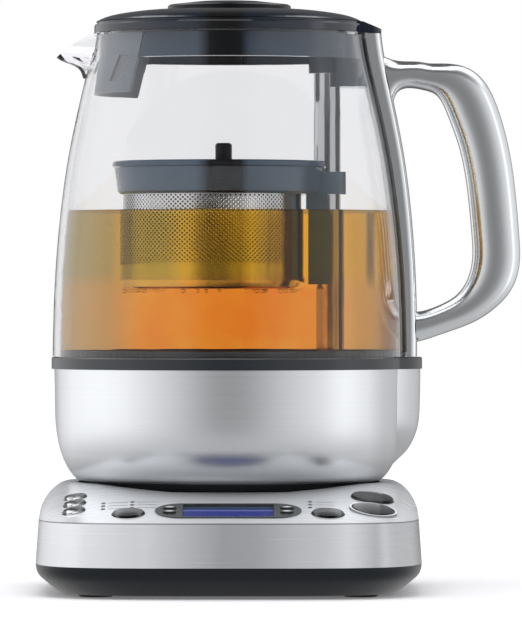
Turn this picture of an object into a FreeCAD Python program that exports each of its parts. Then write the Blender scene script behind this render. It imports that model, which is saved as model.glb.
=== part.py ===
"""A glass tea maker: a powered base with a sloping control panel, and a jug with a moving tea basket.

Units are millimetres. The origin lies on the table, on the upright axis about which the jug turns.
+Z is up, -Y is the front with the control panel, -X is the side of the spout and +X the side of the handle.
"""
import FreeCAD, Part
import math
import os

from FreeCAD import Rotation, Vector

# ---------------------------------------------------------------- clearances
slip = 0.3                 # between pieces that move apart
seat = 0.15                # between curved faces of pieces that stay together
running = 0.05             # radial, round a shaft that turns or a pin that is pressed in
touching = 0.02            # between flat faces that rest on each other
overlap = 1.0              # how far a joined or cutting shape reaches past the face it meets

# ---------------------------------------------------------------- base
base_half_width = 85.8     # at the foot of the steel skirt
base_front = 120.0         # from the jug's axis to the front
base_back = 80.0           # from the jug's axis to the back
base_squareness = 4.2      # exponent of the rounded square seen from above
foot_pad_height = 1.3      # table to underside of the tray
tray_height = 12.5
tray_tuck = 10.3           # how far the tray's underside lies inside its rim
tray_wall = 2.2
# Fraction of the height below the rim, and fraction of the tuck.
tray_curve = ((0.0, 0.0), (0.16, 0.015), (0.34, 0.085), (0.54, 0.29), (0.74, 0.58), (0.91, 0.84), (1.0, 1.0))
tray_lip_gap = 0.7         # between the tray's lip and the cover
tray_lip_wall = 1.5
tray_lip_height = 4.0
skirt_height = 19.2
skirt_lean = 1.3
shoulder_height = 15.0
shoulder_round = 12.0      # width of the rounding at the sides and the back
panel_reach = 78.0         # plan length over which the front panel climbs
panel_bend = 1.35          # 1 would make the panel flat; more makes it level off at its top
cover_wall = 1.0
carrier_wall = 2.0
carrier_drop = 4.0         # how far the carrier reaches below the crease
carrier_boss_radius = 3.8
boss_root = 0.5            # how far a boss enters the wall it grows from
dish_depth = 3.0
outline_points = 48

foot_pad_radius = 8.0
foot_pad_x = 58.0
foot_pad_front = 84.0
foot_pad_back = 50.0
foot_pad_sunk = 1.0
foot_pad_edge = 0.8

screw_x = 62.0
screw_front = 42.0
screw_back = 34.0
screw_radius = 1.5
screw_head_radius = 2.8
screw_head_height = 1.8
screw_recess = 1.2         # radius and depth of the driver's recess
screw_boss_radius = 5.0
screw_boss_height = 7.0
screw_length = 16.0

# ---------------------------------------------------------------- controls
board_drop = 13.5          # from the panel's surface down to the control board
board_thickness = 1.6
board_margin = 4.0
board_back = 54.0          # the board's rear edge, in front of the jug's axis
board_post_radius = 2.5
board_post_places = ((-24.0, -70.0), (24.0, -70.0), (-34.0, -106.0), (34.0, -106.0))
button_proud = 0.9
button_dome = 0.5
button_edge = 0.5
button_gap = 0.3
button_flange = 0.6
button_flange_height = 1.0
button_flange_gap = 0.6    # between the carrier and the flange, with the button at rest
stem_radius = 1.6
stem_gap = 0.1             # between a stem and its switch's plunger, with the button pressed
switch_size = 6.0
switch_height = 2.6
plunger_radius = 1.5
plunger_height = 1.0
button_travel = 0.8

small_radius = 5.0
small_x = 67.6
small_first_y = -66.0
small_pitch = 12.0
round_radius = 7.1
round_x = 43.5
round_y = -101.7
large_radius = 9.35
large_x = 63.4
hot_water_y = -69.4
brew_y = -90.4
ring_width = 0.8           # the lit ring round the brew button
ring_proud = 0.5
ring_sunk = 0.9            # how far the ring enters the carrier

display_width = 64.0
display_length = 23.4
display_y = -98.8
display_proud = 0.4
display_depth = 6.0
display_rim = 1.6
display_post_radius = 2.0
window_width = 39.4
window_thickness = 1.6
window_edge = 0.4
screen_thickness = 2.6
arrow_x = 25.6
arrow_width = 5.6
arrow_length = 3.4
arrow_offset = 3.3         # from the display's middle line to the middle of an arrow button
arrow_proud = 0.7
arrow_flange = 0.8
arrow_flange_height = 1.0
arrow_flange_gap = 0.2
arrow_stem_radius = 1.0
arrow_switch_size = 4.6

light_radius = 0.9
light_foot_radius = 1.7
light_foot_height = 1.2
light_proud = 0.25
light_gap = 0.2            # between a light guide and the board
light_pitch = 4.9
light_first_y = -82.6
light_columns = (-54.8, -42.1, 35.8)
light_rows = 3

# ---------------------------------------------------------------- swivel connector
hub_radius = 17.0
hub_height = 11.0          # above the dish's floor
hub_flange = 7.0
hub_flange_height = 3.0
hub_chamfer = 1.2
groove_middles = (7.0, 12.5)
groove_width = 3.0
groove_depth = 8.0
contact_thickness = 0.5
contact_height = 6.0
blade_thickness = 1.0
blade_reach = 7.0
pin_radius = 2.5
connector_height = 9.0
connector_lip = 2.6
connector_lip_height = 2.0

# ---------------------------------------------------------------- jug body
foot_radius = 64.2         # at its underside
dish_gap = 4.3             # round the foot, so that the belly clears the dish's edge
foot_thickness = 2.7
foot_lip_wall = 2.4        # the lip that enters the steel body
foot_lip_height = 1.6      # how far the lip reaches above the lower edge of the steel
socket_wall = 2.5
body_height = 54.0         # from the dish's floor to the top of the steel
body_wall = 1.0
# Height above the foot and how far the wall lies inside the widest radius.
body_curve = ((3.6, 11.2), (5.1, 9.3), (11.6, 4.9), (18.6, 2.3), (25.4, 1.0), (41.2, 0.2), (54.0, 0.0))
body_radius = 79.1
curved_below = 20.0        # height above which the wall is upright enough to be drawn in sideways only
pod_x = 55.5
# Height above the foot and how far the pod's wall lies inside its widest radius.
pod_curve = ((7.7, 15.3), (13.0, 10.2), (17.0, 6.2), (22.4, 3.0), (28.0, 1.1), (36.0, 0.25),
             (45.0, 0.0), (54.0, 0.0))
pod_radius = 30.8
trim_height = 5.3
trim_proud = 1.2
trim_flange = 1.0
trim_pod_proud = 0.8
trim_edge = 0.5
trim_lip_wall = 2.0
trim_lip_depth = 3.0

# ---------------------------------------------------------------- glass
glass_foot_radius = 79.8
glass_rim_radius = 61.5
glass_wall = 3.0
glass_height = 145.4       # shoulder to rim
glass_neck = 1.9           # how far the glass draws in to enter the trim ring
# Fraction of the height, and fraction of the narrowing from foot to rim.
glass_curve = ((0.0, 0.0), (0.18, 0.033), (0.45, 0.197), (0.642, 0.42), (0.821, 0.727), (0.95, 0.945),
               (1.0, 1.0))
spout_reach = 78.2
spout_drop = 11.2          # rim to the pouring tip
spout_depth = 20.0         # rim to where the spout leaves the wall
spout_tip_radius = 5.0
spout_half_width = 24.0
spout_wall = 2.4
spout_start = 0.76          # fraction of the glass's narrowing at which the spout begins
# Fraction of the depth below the rim, and fraction of the reach; the last ones lie above the rim.
spout_stages = ((1.0, 0.0), (0.86, 0.09), (0.74, 0.26), (0.65, 0.60), (0.55, 0.94), (0.3, 1.05), (0.0, 1.08),
                (-0.3, 1.08))
spout_thick_drop = 0.3      # fraction of the depth below which the floor of the spout keeps its wall
spout_root = 0.8            # fraction of the rim's radius that its body runs back to
spout_edge_inset = 1.0      # from the rim to where its sloping edge starts
spout_edge_past = (2.0, 1.4)    # how far the edge's curve runs past the tip, outwards and down
spout_edge_crown = 1.6

gasket_wall = 2.6
gasket_height = 7.3
heater_plate_thickness = 1.5
heater_plate_lift = 1.4    # above the trim ring's flange
element_radius = 28.0
element_tube = 3.2
element_gap_angle = 50.0
element_leg = 16.0
element_leg_radius = 2.9
probe_x = -12.0
probe_y = 8.0
probe_radius = 4.0
probe_height = 3.0
probe_edge = 1.0
probe_stem_radius = 2.8
probe_stem_depth = 8.0

# ---------------------------------------------------------------- basket lift
post_x = 44.2
post_radius = 6.2
post_wall = 0.6
post_below_plate = 8.0
post_top = 237.5
post_cap = 0.8
bearing_height = 2.2
seal_radius = 10.0
seal_height = 3.0
seal_edge = 1.0
seal_neck = 1.2
motor_radius = 10.0
motor_height = 26.0
motor_gap = 3.0            # below the foot of the post
motor_nose = 2.0           # how far the motor's nose enters the post
motor_socket = 4.0         # how deep the lead screw enters the motor
cradle_wall = 1.6
lead_screw_radius = 2.0
lead_screw_play = 0.3      # at each end
carriage_height = 24.0
magnet_height = 5.0
magnet_depth = 1.6
magnet_gap = 2.0

# ---------------------------------------------------------------- mouth
mouth_ring_height = 11.0
mouth_ring_below_rim = 1.0
mouth_opening_radius = 54.5
holder_radius = 8.4
holder_height = 7.0
holder_wall = 1.6          # above the end of the post
tab_half_width = 11.0
tab_drop = 24.0            # rim to the tab's lower edge
tab_start = 3.5            # from the post's axis out to where the tab begins
tab_gap = 0.8              # between the tab and the lid's skirt
filter_thickness = 1.6
filter_drop = 27.5         # rim to the filter's lower edge
filter_lean = 13.0         # how much further in it would lie at the glass's foot
filter_angle_top = 50.5
filter_angle_bottom = 44.0
filter_margin = 2.0        # degrees of play in the mouth ring
window_angle = 36.5        # middle of each slot, from the spout's direction
window_half_angle = 4.0
window_slant = 6.0
window_top_drop = 11.0
window_bottom_drop = 22.5
mesh_thickness = 0.4

# ---------------------------------------------------------------- lid
lid_radius = 61.0
lid_wall = 2.0
lid_edge = 3.2             # upright edge of the lid
lid_edge_wall = 2.6
# Radius, and height above the lid's lower edge.
lid_curve = ((60.2, 5.2), (56.5, 7.0), (49.0, 8.8), (39.0, 10.1), (28.0, 10.7))
lid_groove = ((60.6, 3.9), (59.7, 4.2), (59.7, 4.8))    # the fine line round the lid, in the same terms
lid_tab_reach = 68.6
lid_tab_half_width = 11.0
lid_tab_thickness = 1.7     # at its end
lid_tab_rise = 5.2          # at its root
lid_tab_root = 4.0
lid_tab_round = 4.0
skirt_radius = 53.4
skirt_drop = 7.0           # rim to the underside of the skirt
skirt_wall = 2.0
lid_seal_height = 2.4
lid_seal_proud = 0.8
lid_seal_depth = 0.8
lid_seal_drop = 3.6        # rim to the seal's lower edge
knob_radius = 27.8
knob_edge = 1.6
knob_height = 4.2
lid_boss_radius = 4.0
lid_boss_height = 6.0

# ---------------------------------------------------------------- basket
collar_x = -4.4
collar_radius = 47.4
collar_taper = 1.1
collar_lip = 0.9
collar_lip_height = 2.4
collar_bottom = 177.5
collar_height = 14.9
collar_opening = 46.0
collar_ledge = 8.1         # from the collar's underside to the ledge that carries the basket's lid
collar_ledge_radius = 44.0
collar_edge = 1.2
collar_lip_edge = 0.6
cup_x = -7.6
cup_radius = 40.2
cup_wall = 0.6
cup_bottom = 139.6
cup_base_height = 4.6
cup_base_bead = 0.5
cup_floor = 1.0
sleeve_wall = 1.8
sleeve_height = 10.1
sleeve_half_width = 11.0
sleeve_round = 4.0
leg_half_width = 9.0
leg_back = 3.1
leg_cheek = 2.0
leg_reach = 9.6            # plan depth of the leg's cheeks
leg_bottom = 137.0
bar_magnet_width = 7.0
bar_magnet_height = 7.0
bar_magnet_thickness = 2.4
bar_magnet_cover = 0.8     # plastic between a bar magnet and the sleeve's bore
basket_lid_radius = 43.1
basket_lid_thickness = 1.8
basket_knob_x = -2.6
basket_knob_radius = 3.8
basket_knob_height = 13.0
basket_knob_edge = 0.8
basket_knob_peg = 1.45

# ---------------------------------------------------------------- handle
spine_half_width = 13.0
spine_foot_thickness = 5.0
spine_rim_thickness = 7.2
spine_round = 2.6          # along its outer edges
pad_thickness = 0.8
pad_inset = 2.0
handle_half_width = 12.0
handle_squareness = 2.7     # exponent of the grip's rounded section
section_points = 16
handle_root = 4.0          # how far the blank runs into the jug before it is cut to the spine
handle_foot = 110.5
handle_height = 128.4
handle_start = 72.0        # where the top of the handle leaves the spine
handle_length = 58.9       # from there to the outermost point
# Fraction of the length outwards and fraction of the height, from the top round to the foot.
handle_outer = ((0.0, 1.0), (0.424, 0.984), (0.693, 0.943), (0.806, 0.861), (0.935, 0.655),
                (1.0, 0.388), (0.978, 0.224), (0.793, 0.114), (0.411, 0.032), (0.214, 0.0))
handle_inner = ((0.232, 0.110), (0.374, 0.131), (0.538, 0.178), (0.628, 0.259), (0.632, 0.401),
                (0.552, 0.667), (0.436, 0.819), (0.370, 0.870), (0.205, 0.896), (0.102, 0.893),
                (0.044, 0.861))
# Stations of the grip's section: fraction of the outer curve's length, and of the inner one's from its top.
grip_stations = ((0.01, 0.0), (0.045, 0.04), (0.075, 0.085), (0.13, 0.145), (0.20, 0.19), (0.26, 0.24),
                 (0.33, 0.30), (0.425, 0.39), (0.52, 0.51), (0.605, 0.63), (0.67, 0.72), (0.72, 0.78),
                 (0.77, 0.83), (0.83, 0.88), (0.90, 0.94), (0.96, 0.985))
insert_curve = ((0.40, 0.880), (0.475, 0.853), (0.585, 0.735), (0.700, 0.430), (0.690, 0.230), (0.560, 0.155))
insert_half_width = 6.4
handle_screw_heights = (118.0, 232.0)
handle_screw_radius = 2.0
handle_screw_length = 14.0
handle_screw_sunk = 1.6    # head to the outer face of the pad
finger_gap_middle = 0.3    # fraction of the handle's length

# ---------------------------------------------------------------- inside the base
power_board_width = 70.0
power_board_length = 46.0
power_board_y = 30.0
standoff_radius = 3.0
standoff_height = 4.0
standoff_inset = 4.0
standoff_hole = 1.2
# Low and high corner in plan, from the board's middle, and height above the board.
power_blocks = (((-24.0, -14.0), (-4.0, 2.0), 15.0), ((4.0, -10.0), (26.0, 10.0), 14.0),
                ((8.0, 14.0), (22.0, 19.0), 8.0))
# Radius, height above the board, and place in plan from the board's middle.
power_capacitors = ((5.0, 16.0, -14.0, 13.0), (4.0, 12.0, -2.0, 15.0))
gland_x = -30.0
gland_radius = 4.0
gland_flange = 0.6
gland_flange_thickness = 2.0
gland_hole_radius = 3.2
gland_proud = 3.0
gland_depth = 8.0
gland_below_rim = 0.8      # between the gland and the tray's top edge
gland_groove = 0.4
gland_groove_start = 0.8
gland_groove_width = 0.8

# ---------------------------------------------------------------- derived levels
tray_top = foot_pad_height + tray_height
crease = tray_top + skirt_height
base_top = crease + shoulder_height
dish_floor = base_top - dish_depth
dish_radius = foot_radius + dish_gap
hub_top = dish_floor + hub_height
body_top = dish_floor + body_height
trim_top = body_top + trim_height
glass_shoulder = trim_top + slip
rim = glass_shoulder + glass_height
glass_seat = body_top + trim_flange + seat
trim_bore = glass_foot_radius - glass_neck + seat
gasket_radius = glass_foot_radius - glass_wall
plate_bottom = body_top + heater_plate_lift
plate_top = plate_bottom + heater_plate_thickness
plate_radius = gasket_radius - gasket_wall
post_bottom = plate_bottom - post_below_plate
motor_top = post_bottom - motor_gap
motor_bottom = motor_top - motor_height
foot_top = dish_floor + foot_thickness
connector_bottom = hub_top + overlap
connector_top = connector_bottom + connector_height
collar_top = collar_bottom + collar_height
sleeve_radius = post_radius + slip
spine_bottom = trim_top + slip
lid_bottom = rim + slip
basket_lid_bottom = collar_bottom + collar_ledge + slip
nut_middle = collar_bottom + sleeve_height / 2
boss_top = foot_pad_height + screw_boss_height
screw_tip = foot_pad_height + screw_head_height + screw_length
gland_height = tray_top - gland_radius - gland_below_rim
plunger_top = switch_height + plunger_height
nut_radius = post_radius - post_wall - seat
lid_top = lid_bottom + lid_curve[-1][1]
lid_boss_bottom = lid_top - lid_wall - lid_boss_height


# ---------------------------------------------------------------- general shapes
def cylinder(radius, low, high, x=0.0, y=0.0):
    """An upright cylinder between two heights."""
    return Part.makeCylinder(radius, high - low, Vector(x, y, low))


def tube(outer, inner, low, high, x=0.0, y=0.0):
    """An upright tube between two heights."""
    return cylinder(outer, low, high, x, y).cut(cylinder(inner, low - overlap, high + overlap, x, y))


def block(low, high):
    """A box between two corners."""
    return Part.makeBox(high[0] - low[0], high[1] - low[1], high[2] - low[2], Vector(*low))


def fused(*shapes):
    """One clean solid made of several that overlap."""
    return shapes[0].fuse(list(shapes[1:])).removeSplitter()


def smooth(points):
    """A curve through points."""
    curve = Part.BSplineCurve()
    curve.interpolate(points)
    return curve.toShape()


def turned(points, x=0.0):
    """A solid turned about the upright line at x, from corners given as radius and height."""
    corners = [Vector(x + radius, 0, height) for radius, height in points]
    face = Part.Face(Part.makePolygon(corners + corners[:1]))
    return face.revolve(Vector(x, 0, 0), Vector(0, 0, 1), 360)


def bellied(points, x=0.0):
    """A solid turned about the upright line at x, whose side is a smooth curve through the points."""
    side = [Vector(x + radius, 0, height) for radius, height in points]
    low, high = Vector(x, 0, side[0].z), Vector(x, 0, side[-1].z)
    edges = [smooth(side), Part.makeLine(side[-1], high), Part.makeLine(high, low),
             Part.makeLine(low, side[0])]
    return Part.Face(Part.Wire(edges)).revolve(Vector(x, 0, 0), Vector(0, 0, 1), 360)


def export(name, shape):
    """Writes one named piece."""
    shape.exportStep(os.path.join("parts", name + ".step"))


# ---------------------------------------------------------------- the base's cushion shape
def contour(rise):
    """Half width, front and back of the cushion at a fraction of its shoulder's height."""
    inset = shoulder_round * (1 - math.sqrt(1 - rise * rise))
    climb = panel_reach * (1 - (1 - rise) ** (1 / panel_bend))
    return (base_half_width - skirt_lean - inset, base_front - skirt_lean - climb,
            base_back - skirt_lean - inset)


def rounded_square(half_width, front, back, height):
    """A closed outline, a superellipse in plan, at a height."""
    middle = (back - front) / 2
    half_length = (back + front) / 2
    points = []
    for step in range(outline_points):
        angle = 2 * math.pi * step / outline_points
        across = abs(math.cos(angle) / half_width) ** base_squareness
        along = abs(math.sin(angle) / half_length) ** base_squareness
        reach = (across + along) ** (-1 / base_squareness)
        points.append(Vector(reach * math.cos(angle), middle + reach * math.sin(angle), height))
    curve = Part.BSplineCurve()
    curve.interpolate(points, PeriodicFlag=True)
    return Part.Wire(curve.toShape())


def cushion(inset, low):
    """The skirt and the pillow-shaped top as one solid, drawn in by inset all round and at its top."""
    start = inset + skirt_lean * (low - tray_top) / skirt_height
    foot = rounded_square(base_half_width - start, base_front - start, base_back - start, low)
    levels = []
    for step in range(8):
        rise = math.sin(math.pi / 2 * step / 7)
        width, front, back = contour(rise)
        height = crease - inset + shoulder_height * rise
        levels.append(rounded_square(width - inset, front - inset, back - inset, height))
    skirt = Part.makeLoft([foot, levels[0]], True, True)
    pillow = Part.makeLoft(levels, True, False)
    return skirt.fuse(pillow)


def panel_height(x, y):
    """Height of the cushion's surface at a place in plan."""
    low, high = 0.0, 1.0
    for _ in range(40):
        rise = (low + high) / 2
        width, front, back = contour(rise)
        middle = (back - front) / 2
        half_length = (back + front) / 2
        if abs(x / width) ** base_squareness + abs((y - middle) / half_length) ** base_squareness < 1:
            low = rise
        else:
            high = rise
    return crease + shoulder_height * low


def panel_normal(x, y):
    """Outward direction of the cushion's surface at a place in plan."""
    step = 0.5
    slope_x = (panel_height(x + step, y) - panel_height(x - step, y)) / (2 * step)
    slope_y = (panel_height(x, y + step) - panel_height(x, y - step)) / (2 * step)
    return Vector(-slope_x, -slope_y, 1).normalize()


def on_panel(shape, x, y):
    """Stands a shape, made round the origin with its outside up, on the panel at a place in plan."""
    placed = shape.copy()
    turn = Rotation(Vector(0, 0, 1), panel_normal(x, y))
    stand = FreeCAD.Placement(Vector(x, y, panel_height(x, y)), turn)
    placed.Placement = stand.multiply(placed.Placement)
    return placed


board_normal = panel_normal(0, display_y)
board_point = Vector(0, display_y, panel_height(0, display_y)) - board_normal * board_drop


def board_distance(x, y):
    """Distance from the panel's surface at a place down its normal to the control board's top."""
    start = Vector(x, y, panel_height(x, y))
    normal = panel_normal(x, y)
    return (start - board_point).dot(board_normal) / normal.dot(board_normal)


def below_board(lift):
    """A large block that fills all that lies under the board's top face, raised by lift."""
    size = 4 * base_front
    slab = Part.makeBox(size, size, size, Vector(-size / 2, -size / 2, -size + lift))
    slab.Placement = FreeCAD.Placement(board_point, Rotation(Vector(0, 0, 1), board_normal))
    return slab


# ---------------------------------------------------------------- places of controls, screws and feet
button_places = {
    "keep_warm_button": (-small_x, small_first_y, small_radius),
    "basket_cycle_button": (-small_x, small_first_y - small_pitch, small_radius),
    "auto_start_button": (-small_x, small_first_y - 2 * small_pitch, small_radius),
    "tea_type_button": (-round_x, round_y, round_radius),
    "strength_button": (round_x, round_y, round_radius),
    "hot_water_button": (large_x, hot_water_y, large_radius),
    "brew_button": (large_x, brew_y, large_radius),
}
arrow_places = {
    "temperature_up_button": (-arrow_x, display_y + arrow_offset),
    "temperature_down_button": (-arrow_x, display_y - arrow_offset),
    "time_up_button": (arrow_x, display_y + arrow_offset),
    "time_down_button": (arrow_x, display_y - arrow_offset),
}
light_places = [(x, light_first_y - row * light_pitch) for x in light_columns for row in range(light_rows)]
screw_places = [(side * screw_x, y) for side in (-1, 1) for y in (-screw_front, screw_back)]
pad_places = [(side * foot_pad_x, y) for side in (-1, 1) for y in (-foot_pad_front, foot_pad_back)]
power_post_x = power_board_width / 2 - standoff_inset
power_post_y = power_board_length / 2 - standoff_inset
power_posts = [(i * power_post_x, power_board_y + j * power_post_y) for i in (-1, 1) for j in (-1, 1)]
panel_depth = cover_wall + carrier_wall + 2 * seat
flange_top = -panel_depth - button_flange_gap


def stadium(width, length, low, high):
    """A flat-ended block with half-round ends, round the origin."""
    radius = length / 2
    straight = width - length
    middle = Part.makeBox(straight, length, high - low, Vector(-straight / 2, -radius, low))
    ends = [cylinder(radius, low, high, side * straight / 2) for side in (-1, 1)]
    return fused(middle, *ends)


def arrow_shape(low, high, grow=0.0):
    """A small rounded bar, the outline of one arrow button."""
    return stadium(arrow_width + 2 * grow, arrow_length + 2 * grow, low, high)


def stem_height(x, y):
    """How high above the board a stem ends, so that the pressed stem just clears the tilted plunger."""
    tilt = panel_normal(x, y).getAngle(board_normal)
    plunger = plunger_top * math.cos(tilt) + plunger_radius * math.sin(tilt)
    return plunger + button_travel + stem_gap


# ---------------------------------------------------------------- base: outer pieces
def base_cover():
    """The steel cover: skirt, sloping panel and rounded top, with a dish for the jug."""
    outer = cushion(0, tray_top).cut(cylinder(dish_radius, dish_floor, base_top + overlap))
    inner = cushion(cover_wall, tray_top - overlap)
    inner = inner.cut(cylinder(dish_radius + cover_wall, dish_floor - cover_wall, base_top + overlap))
    cover = outer.cut(inner)
    cover = cover.cut(cylinder(hub_radius + seat, dish_floor - 2 * overlap, base_top))
    for x, y, radius in button_places.values():
        cover = cover.cut(on_panel(cylinder(radius + button_gap, -panel_depth - overlap, 2 * overlap), x, y))
    ring = cylinder(large_radius + button_gap + ring_width + seat, -panel_depth, 2 * overlap)
    cover = cover.cut(on_panel(ring, large_x, brew_y))
    opening = stadium(display_width + seat, display_length + seat, -panel_depth, 2 * overlap)
    cover = cover.cut(on_panel(opening, 0, display_y))
    for x, y in light_places:
        cover = cover.cut(on_panel(cylinder(light_radius + seat, -panel_depth, 2 * overlap), x, y))
    return cover


def panel_carrier():
    """The plastic carrier under the cover, which guides the buttons and holds boards, hub and screws."""
    outer_inset = cover_wall + seat
    inner_inset = outer_inset + carrier_wall
    dish = dish_radius + outer_inset
    floor = dish_floor - outer_inset
    outer = cushion(outer_inset, crease - carrier_drop).cut(cylinder(dish, floor, base_top))
    inner = cushion(inner_inset, crease - carrier_drop - 2 * overlap)
    inner = inner.cut(cylinder(dish + carrier_wall, floor - carrier_wall, base_top))
    carrier = outer.cut(inner)
    room = cushion(inner_inset - boss_root, boss_top)
    room = room.cut(cylinder(dish + carrier_wall - boss_root, floor - carrier_wall + boss_root, base_top))
    bosses = [cylinder(carrier_boss_radius, boss_top, base_top, x, y).common(room) for x, y in screw_places]
    for x, y in board_post_places:
        post = cylinder(board_post_radius, tray_top, base_top, x, y).cut(below_board(0))
        bosses.append(post.common(room))
    carrier = fused(carrier, *bosses)
    for x, y in screw_places:
        carrier = carrier.cut(cylinder(screw_radius, boss_top - overlap, screw_tip, x, y))
    carrier = carrier.cut(cylinder(hub_radius + seat, floor - 3 * overlap, base_top))
    for x, y, radius in button_places.values():
        carrier = carrier.cut(on_panel(cylinder(radius + button_gap, -2 * panel_depth, 2 * overlap), x, y))
        pocket = cylinder(radius + button_flange + slip, -board_drop, flange_top + seat)
        carrier = carrier.cut(on_panel(pocket, x, y))
    ring_low = -cover_wall - seat - ring_sunk - seat
    ring = cylinder(large_radius + button_gap + ring_width + seat, ring_low, 2 * overlap)
    carrier = carrier.cut(on_panel(ring, large_x, brew_y))
    opening = stadium(display_width + seat, display_length + seat, -2 * panel_depth, 2 * overlap)
    carrier = carrier.cut(on_panel(opening, 0, display_y))
    for x, y in light_places:
        carrier = carrier.cut(on_panel(cylinder(light_radius + seat, -2 * panel_depth, 2 * overlap), x, y))
    return carrier


def tray_solid(inset, floor):
    """The tray's bowl shape, drawn in by inset, with its underside at floor."""
    levels = []
    for depth, drawn in tray_curve:
        tuck = tray_tuck * drawn + inset
        height = tray_top - (tray_top - floor) * depth
        levels.append(rounded_square(base_half_width - tuck, base_front - tuck, base_back - tuck, height))
    return Part.makeLoft(levels, True, False)


def base_tray():
    """The black tray that closes the base from below, with a lip that enters the steel skirt."""
    floor = foot_pad_height + tray_wall
    tray = tray_solid(0, foot_pad_height).cut(tray_solid(tray_wall, floor))
    lip_rise = Vector(0, 0, overlap + tray_lip_height)
    lip = lip_blank(0).extrude(lip_rise).cut(lip_blank(tray_lip_wall).extrude(lip_rise))
    posts = [cylinder(screw_boss_radius, foot_pad_height, boss_top - seat, x, y) for x, y in screw_places]
    posts += [cylinder(standoff_radius, floor - overlap, floor + standoff_height, x, y)
              for x, y in power_posts]
    tray = fused(tray, lip, *posts)
    for x, y in screw_places:
        sink = foot_pad_height + screw_head_height + seat
        tray = tray.cut(cylinder(screw_radius + slip, foot_pad_height - overlap, boss_top, x, y))
        tray = tray.cut(cylinder(screw_head_radius + slip, foot_pad_height - overlap, sink, x, y))
    for x, y in pad_places:
        sink = foot_pad_height + foot_pad_sunk
        tray = tray.cut(cylinder(foot_pad_radius, foot_pad_height - overlap, sink, x, y))
    return tray.cut(gland_cutter())


def lip_blank(inset):
    """The filled outline of the tray's lip, drawn in by inset."""
    total = cover_wall + seat + tray_lip_gap + inset
    return Part.Face(rounded_square(base_half_width - total, base_front - total, base_back - total,
                                    tray_top - overlap))


def inlet(radius, low, high):
    """A level cylinder on the mains inlet's axis, between two distances behind the base's back."""
    start = Vector(gland_x, base_back + low, gland_height)
    return Part.makeCylinder(radius, high - low, start, Vector(0, 1, 0))


def gland_cutter():
    """The hole through the back of the tray for the mains inlet."""
    collar = gland_flange_thickness + seat - gland_depth
    hole = inlet(gland_radius + seat, -gland_depth - overlap, overlap)
    return hole.fuse(inlet(gland_radius + gland_flange + seat, -gland_depth - overlap, collar))


def cord_gland():
    """The grooved rubber inlet at the back, with an open bore for a mains lead."""
    body = inlet(gland_radius, -gland_depth, gland_proud)
    collar = inlet(gland_radius + gland_flange, -gland_depth, gland_flange_thickness - gland_depth)
    groove_end = gland_groove_start + gland_groove_width
    groove = inlet(gland_radius + overlap, gland_groove_start, groove_end)
    groove = groove.cut(inlet(gland_radius - gland_groove, 0, gland_proud))
    bore = inlet(gland_hole_radius, -gland_depth - overlap, gland_proud + overlap)
    return fused(body, collar).cut(bore).cut(groove)


def foot_pads():
    """Four rubber feet pressed into the tray."""
    radius = foot_pad_radius - seat
    high = foot_pad_height + foot_pad_sunk
    pads = []
    for x, y in pad_places:
        pad = turned(((0, 0), (radius - foot_pad_edge, 0), (radius, foot_pad_edge), (radius, high),
                      (0, high)))
        pad.translate(Vector(x, y, 0))
        pads.append(pad)
    return Part.makeCompound(pads)


def base_screws():
    """Four screws that hold tray and carrier together."""
    low = foot_pad_height + seat
    head_top = foot_pad_height + screw_head_height
    screws = []
    for x, y in screw_places:
        head = cylinder(screw_head_radius, low, head_top, x, y)
        head = head.cut(cylinder(screw_recess, low - overlap, low + screw_recess, x, y))
        screws.append(fused(head, cylinder(screw_radius, head_top - overlap / 2, screw_tip, x, y)))
    return Part.makeCompound(screws)


# ---------------------------------------------------------------- base: controls
def button(radius, stem_end):
    """A domed round button with its stem, round the origin: the panel's surface is at height 0."""
    flange_low = flange_top - button_flange_height
    flange_radius = radius + button_flange
    corners = ((0, stem_end), (stem_radius, stem_end), (stem_radius, flange_low), (flange_radius, flange_low),
               (flange_radius, flange_top), (radius, flange_top), (radius, button_proud - button_edge),
               (radius - button_edge, button_proud), (radius / 2, button_proud + button_dome * 0.7),
               (0, button_proud + button_dome))
    return turned(corners)


def arrow_button():
    """A small bar-shaped button with its stem, round the origin."""
    high = -display_depth - arrow_flange_gap
    low = high - arrow_flange_height
    cap = arrow_shape((low + high) / 2, display_proud + arrow_proud)
    stem = cylinder(arrow_stem_radius, plunger_top + button_travel + stem_gap - board_drop, (low + high) / 2)
    return fused(cap, arrow_shape(low, high, arrow_flange), stem)


def buttons():
    """Every moving button, by name."""
    shapes = {}
    for name, (x, y, radius) in button_places.items():
        shapes[name] = on_panel(button(radius, stem_height(x, y) - board_distance(x, y)), x, y)
    for name, (x, y) in arrow_places.items():
        local = arrow_button()
        local.translate(Vector(x, (y - display_y) / board_normal.z, 0))
        shapes[name] = on_panel(local, 0, display_y)
    return shapes


def display_frame():
    """The dark oblong frame flush with the panel, with pockets for the screen and the arrow buttons."""
    frame = stadium(display_width, display_length, -display_depth, display_proud)
    pocket_low = display_proud - window_thickness - screen_thickness - 2 * seat
    half = window_width / 2 + seat
    width = display_length / 2 - display_rim + seat
    frame = frame.cut(block((-half, -width, pocket_low), (half, width, display_proud + overlap)))
    for x in (-arrow_x, arrow_x):
        for y in (-arrow_offset / board_normal.z, arrow_offset / board_normal.z):
            hole = arrow_shape(-display_depth - overlap, display_proud + overlap, slip)
            hole.translate(Vector(x, y, 0))
            frame = frame.cut(hole)
    post_length = board_drop - display_depth
    for x in (-window_width / 2, window_width / 2):
        post = cylinder(display_post_radius, -display_depth - post_length, -display_depth + overlap, x, 0)
        frame = frame.fuse(post)
    return on_panel(frame.removeSplitter(), 0, display_y)


def display_screen():
    """The lit liquid crystal screen."""
    high = display_proud - window_thickness - seat
    width = display_length / 2 - display_rim
    screen = block((-window_width / 2, -width, high - screen_thickness), (window_width / 2, width, high))
    return on_panel(screen, 0, display_y)


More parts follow.
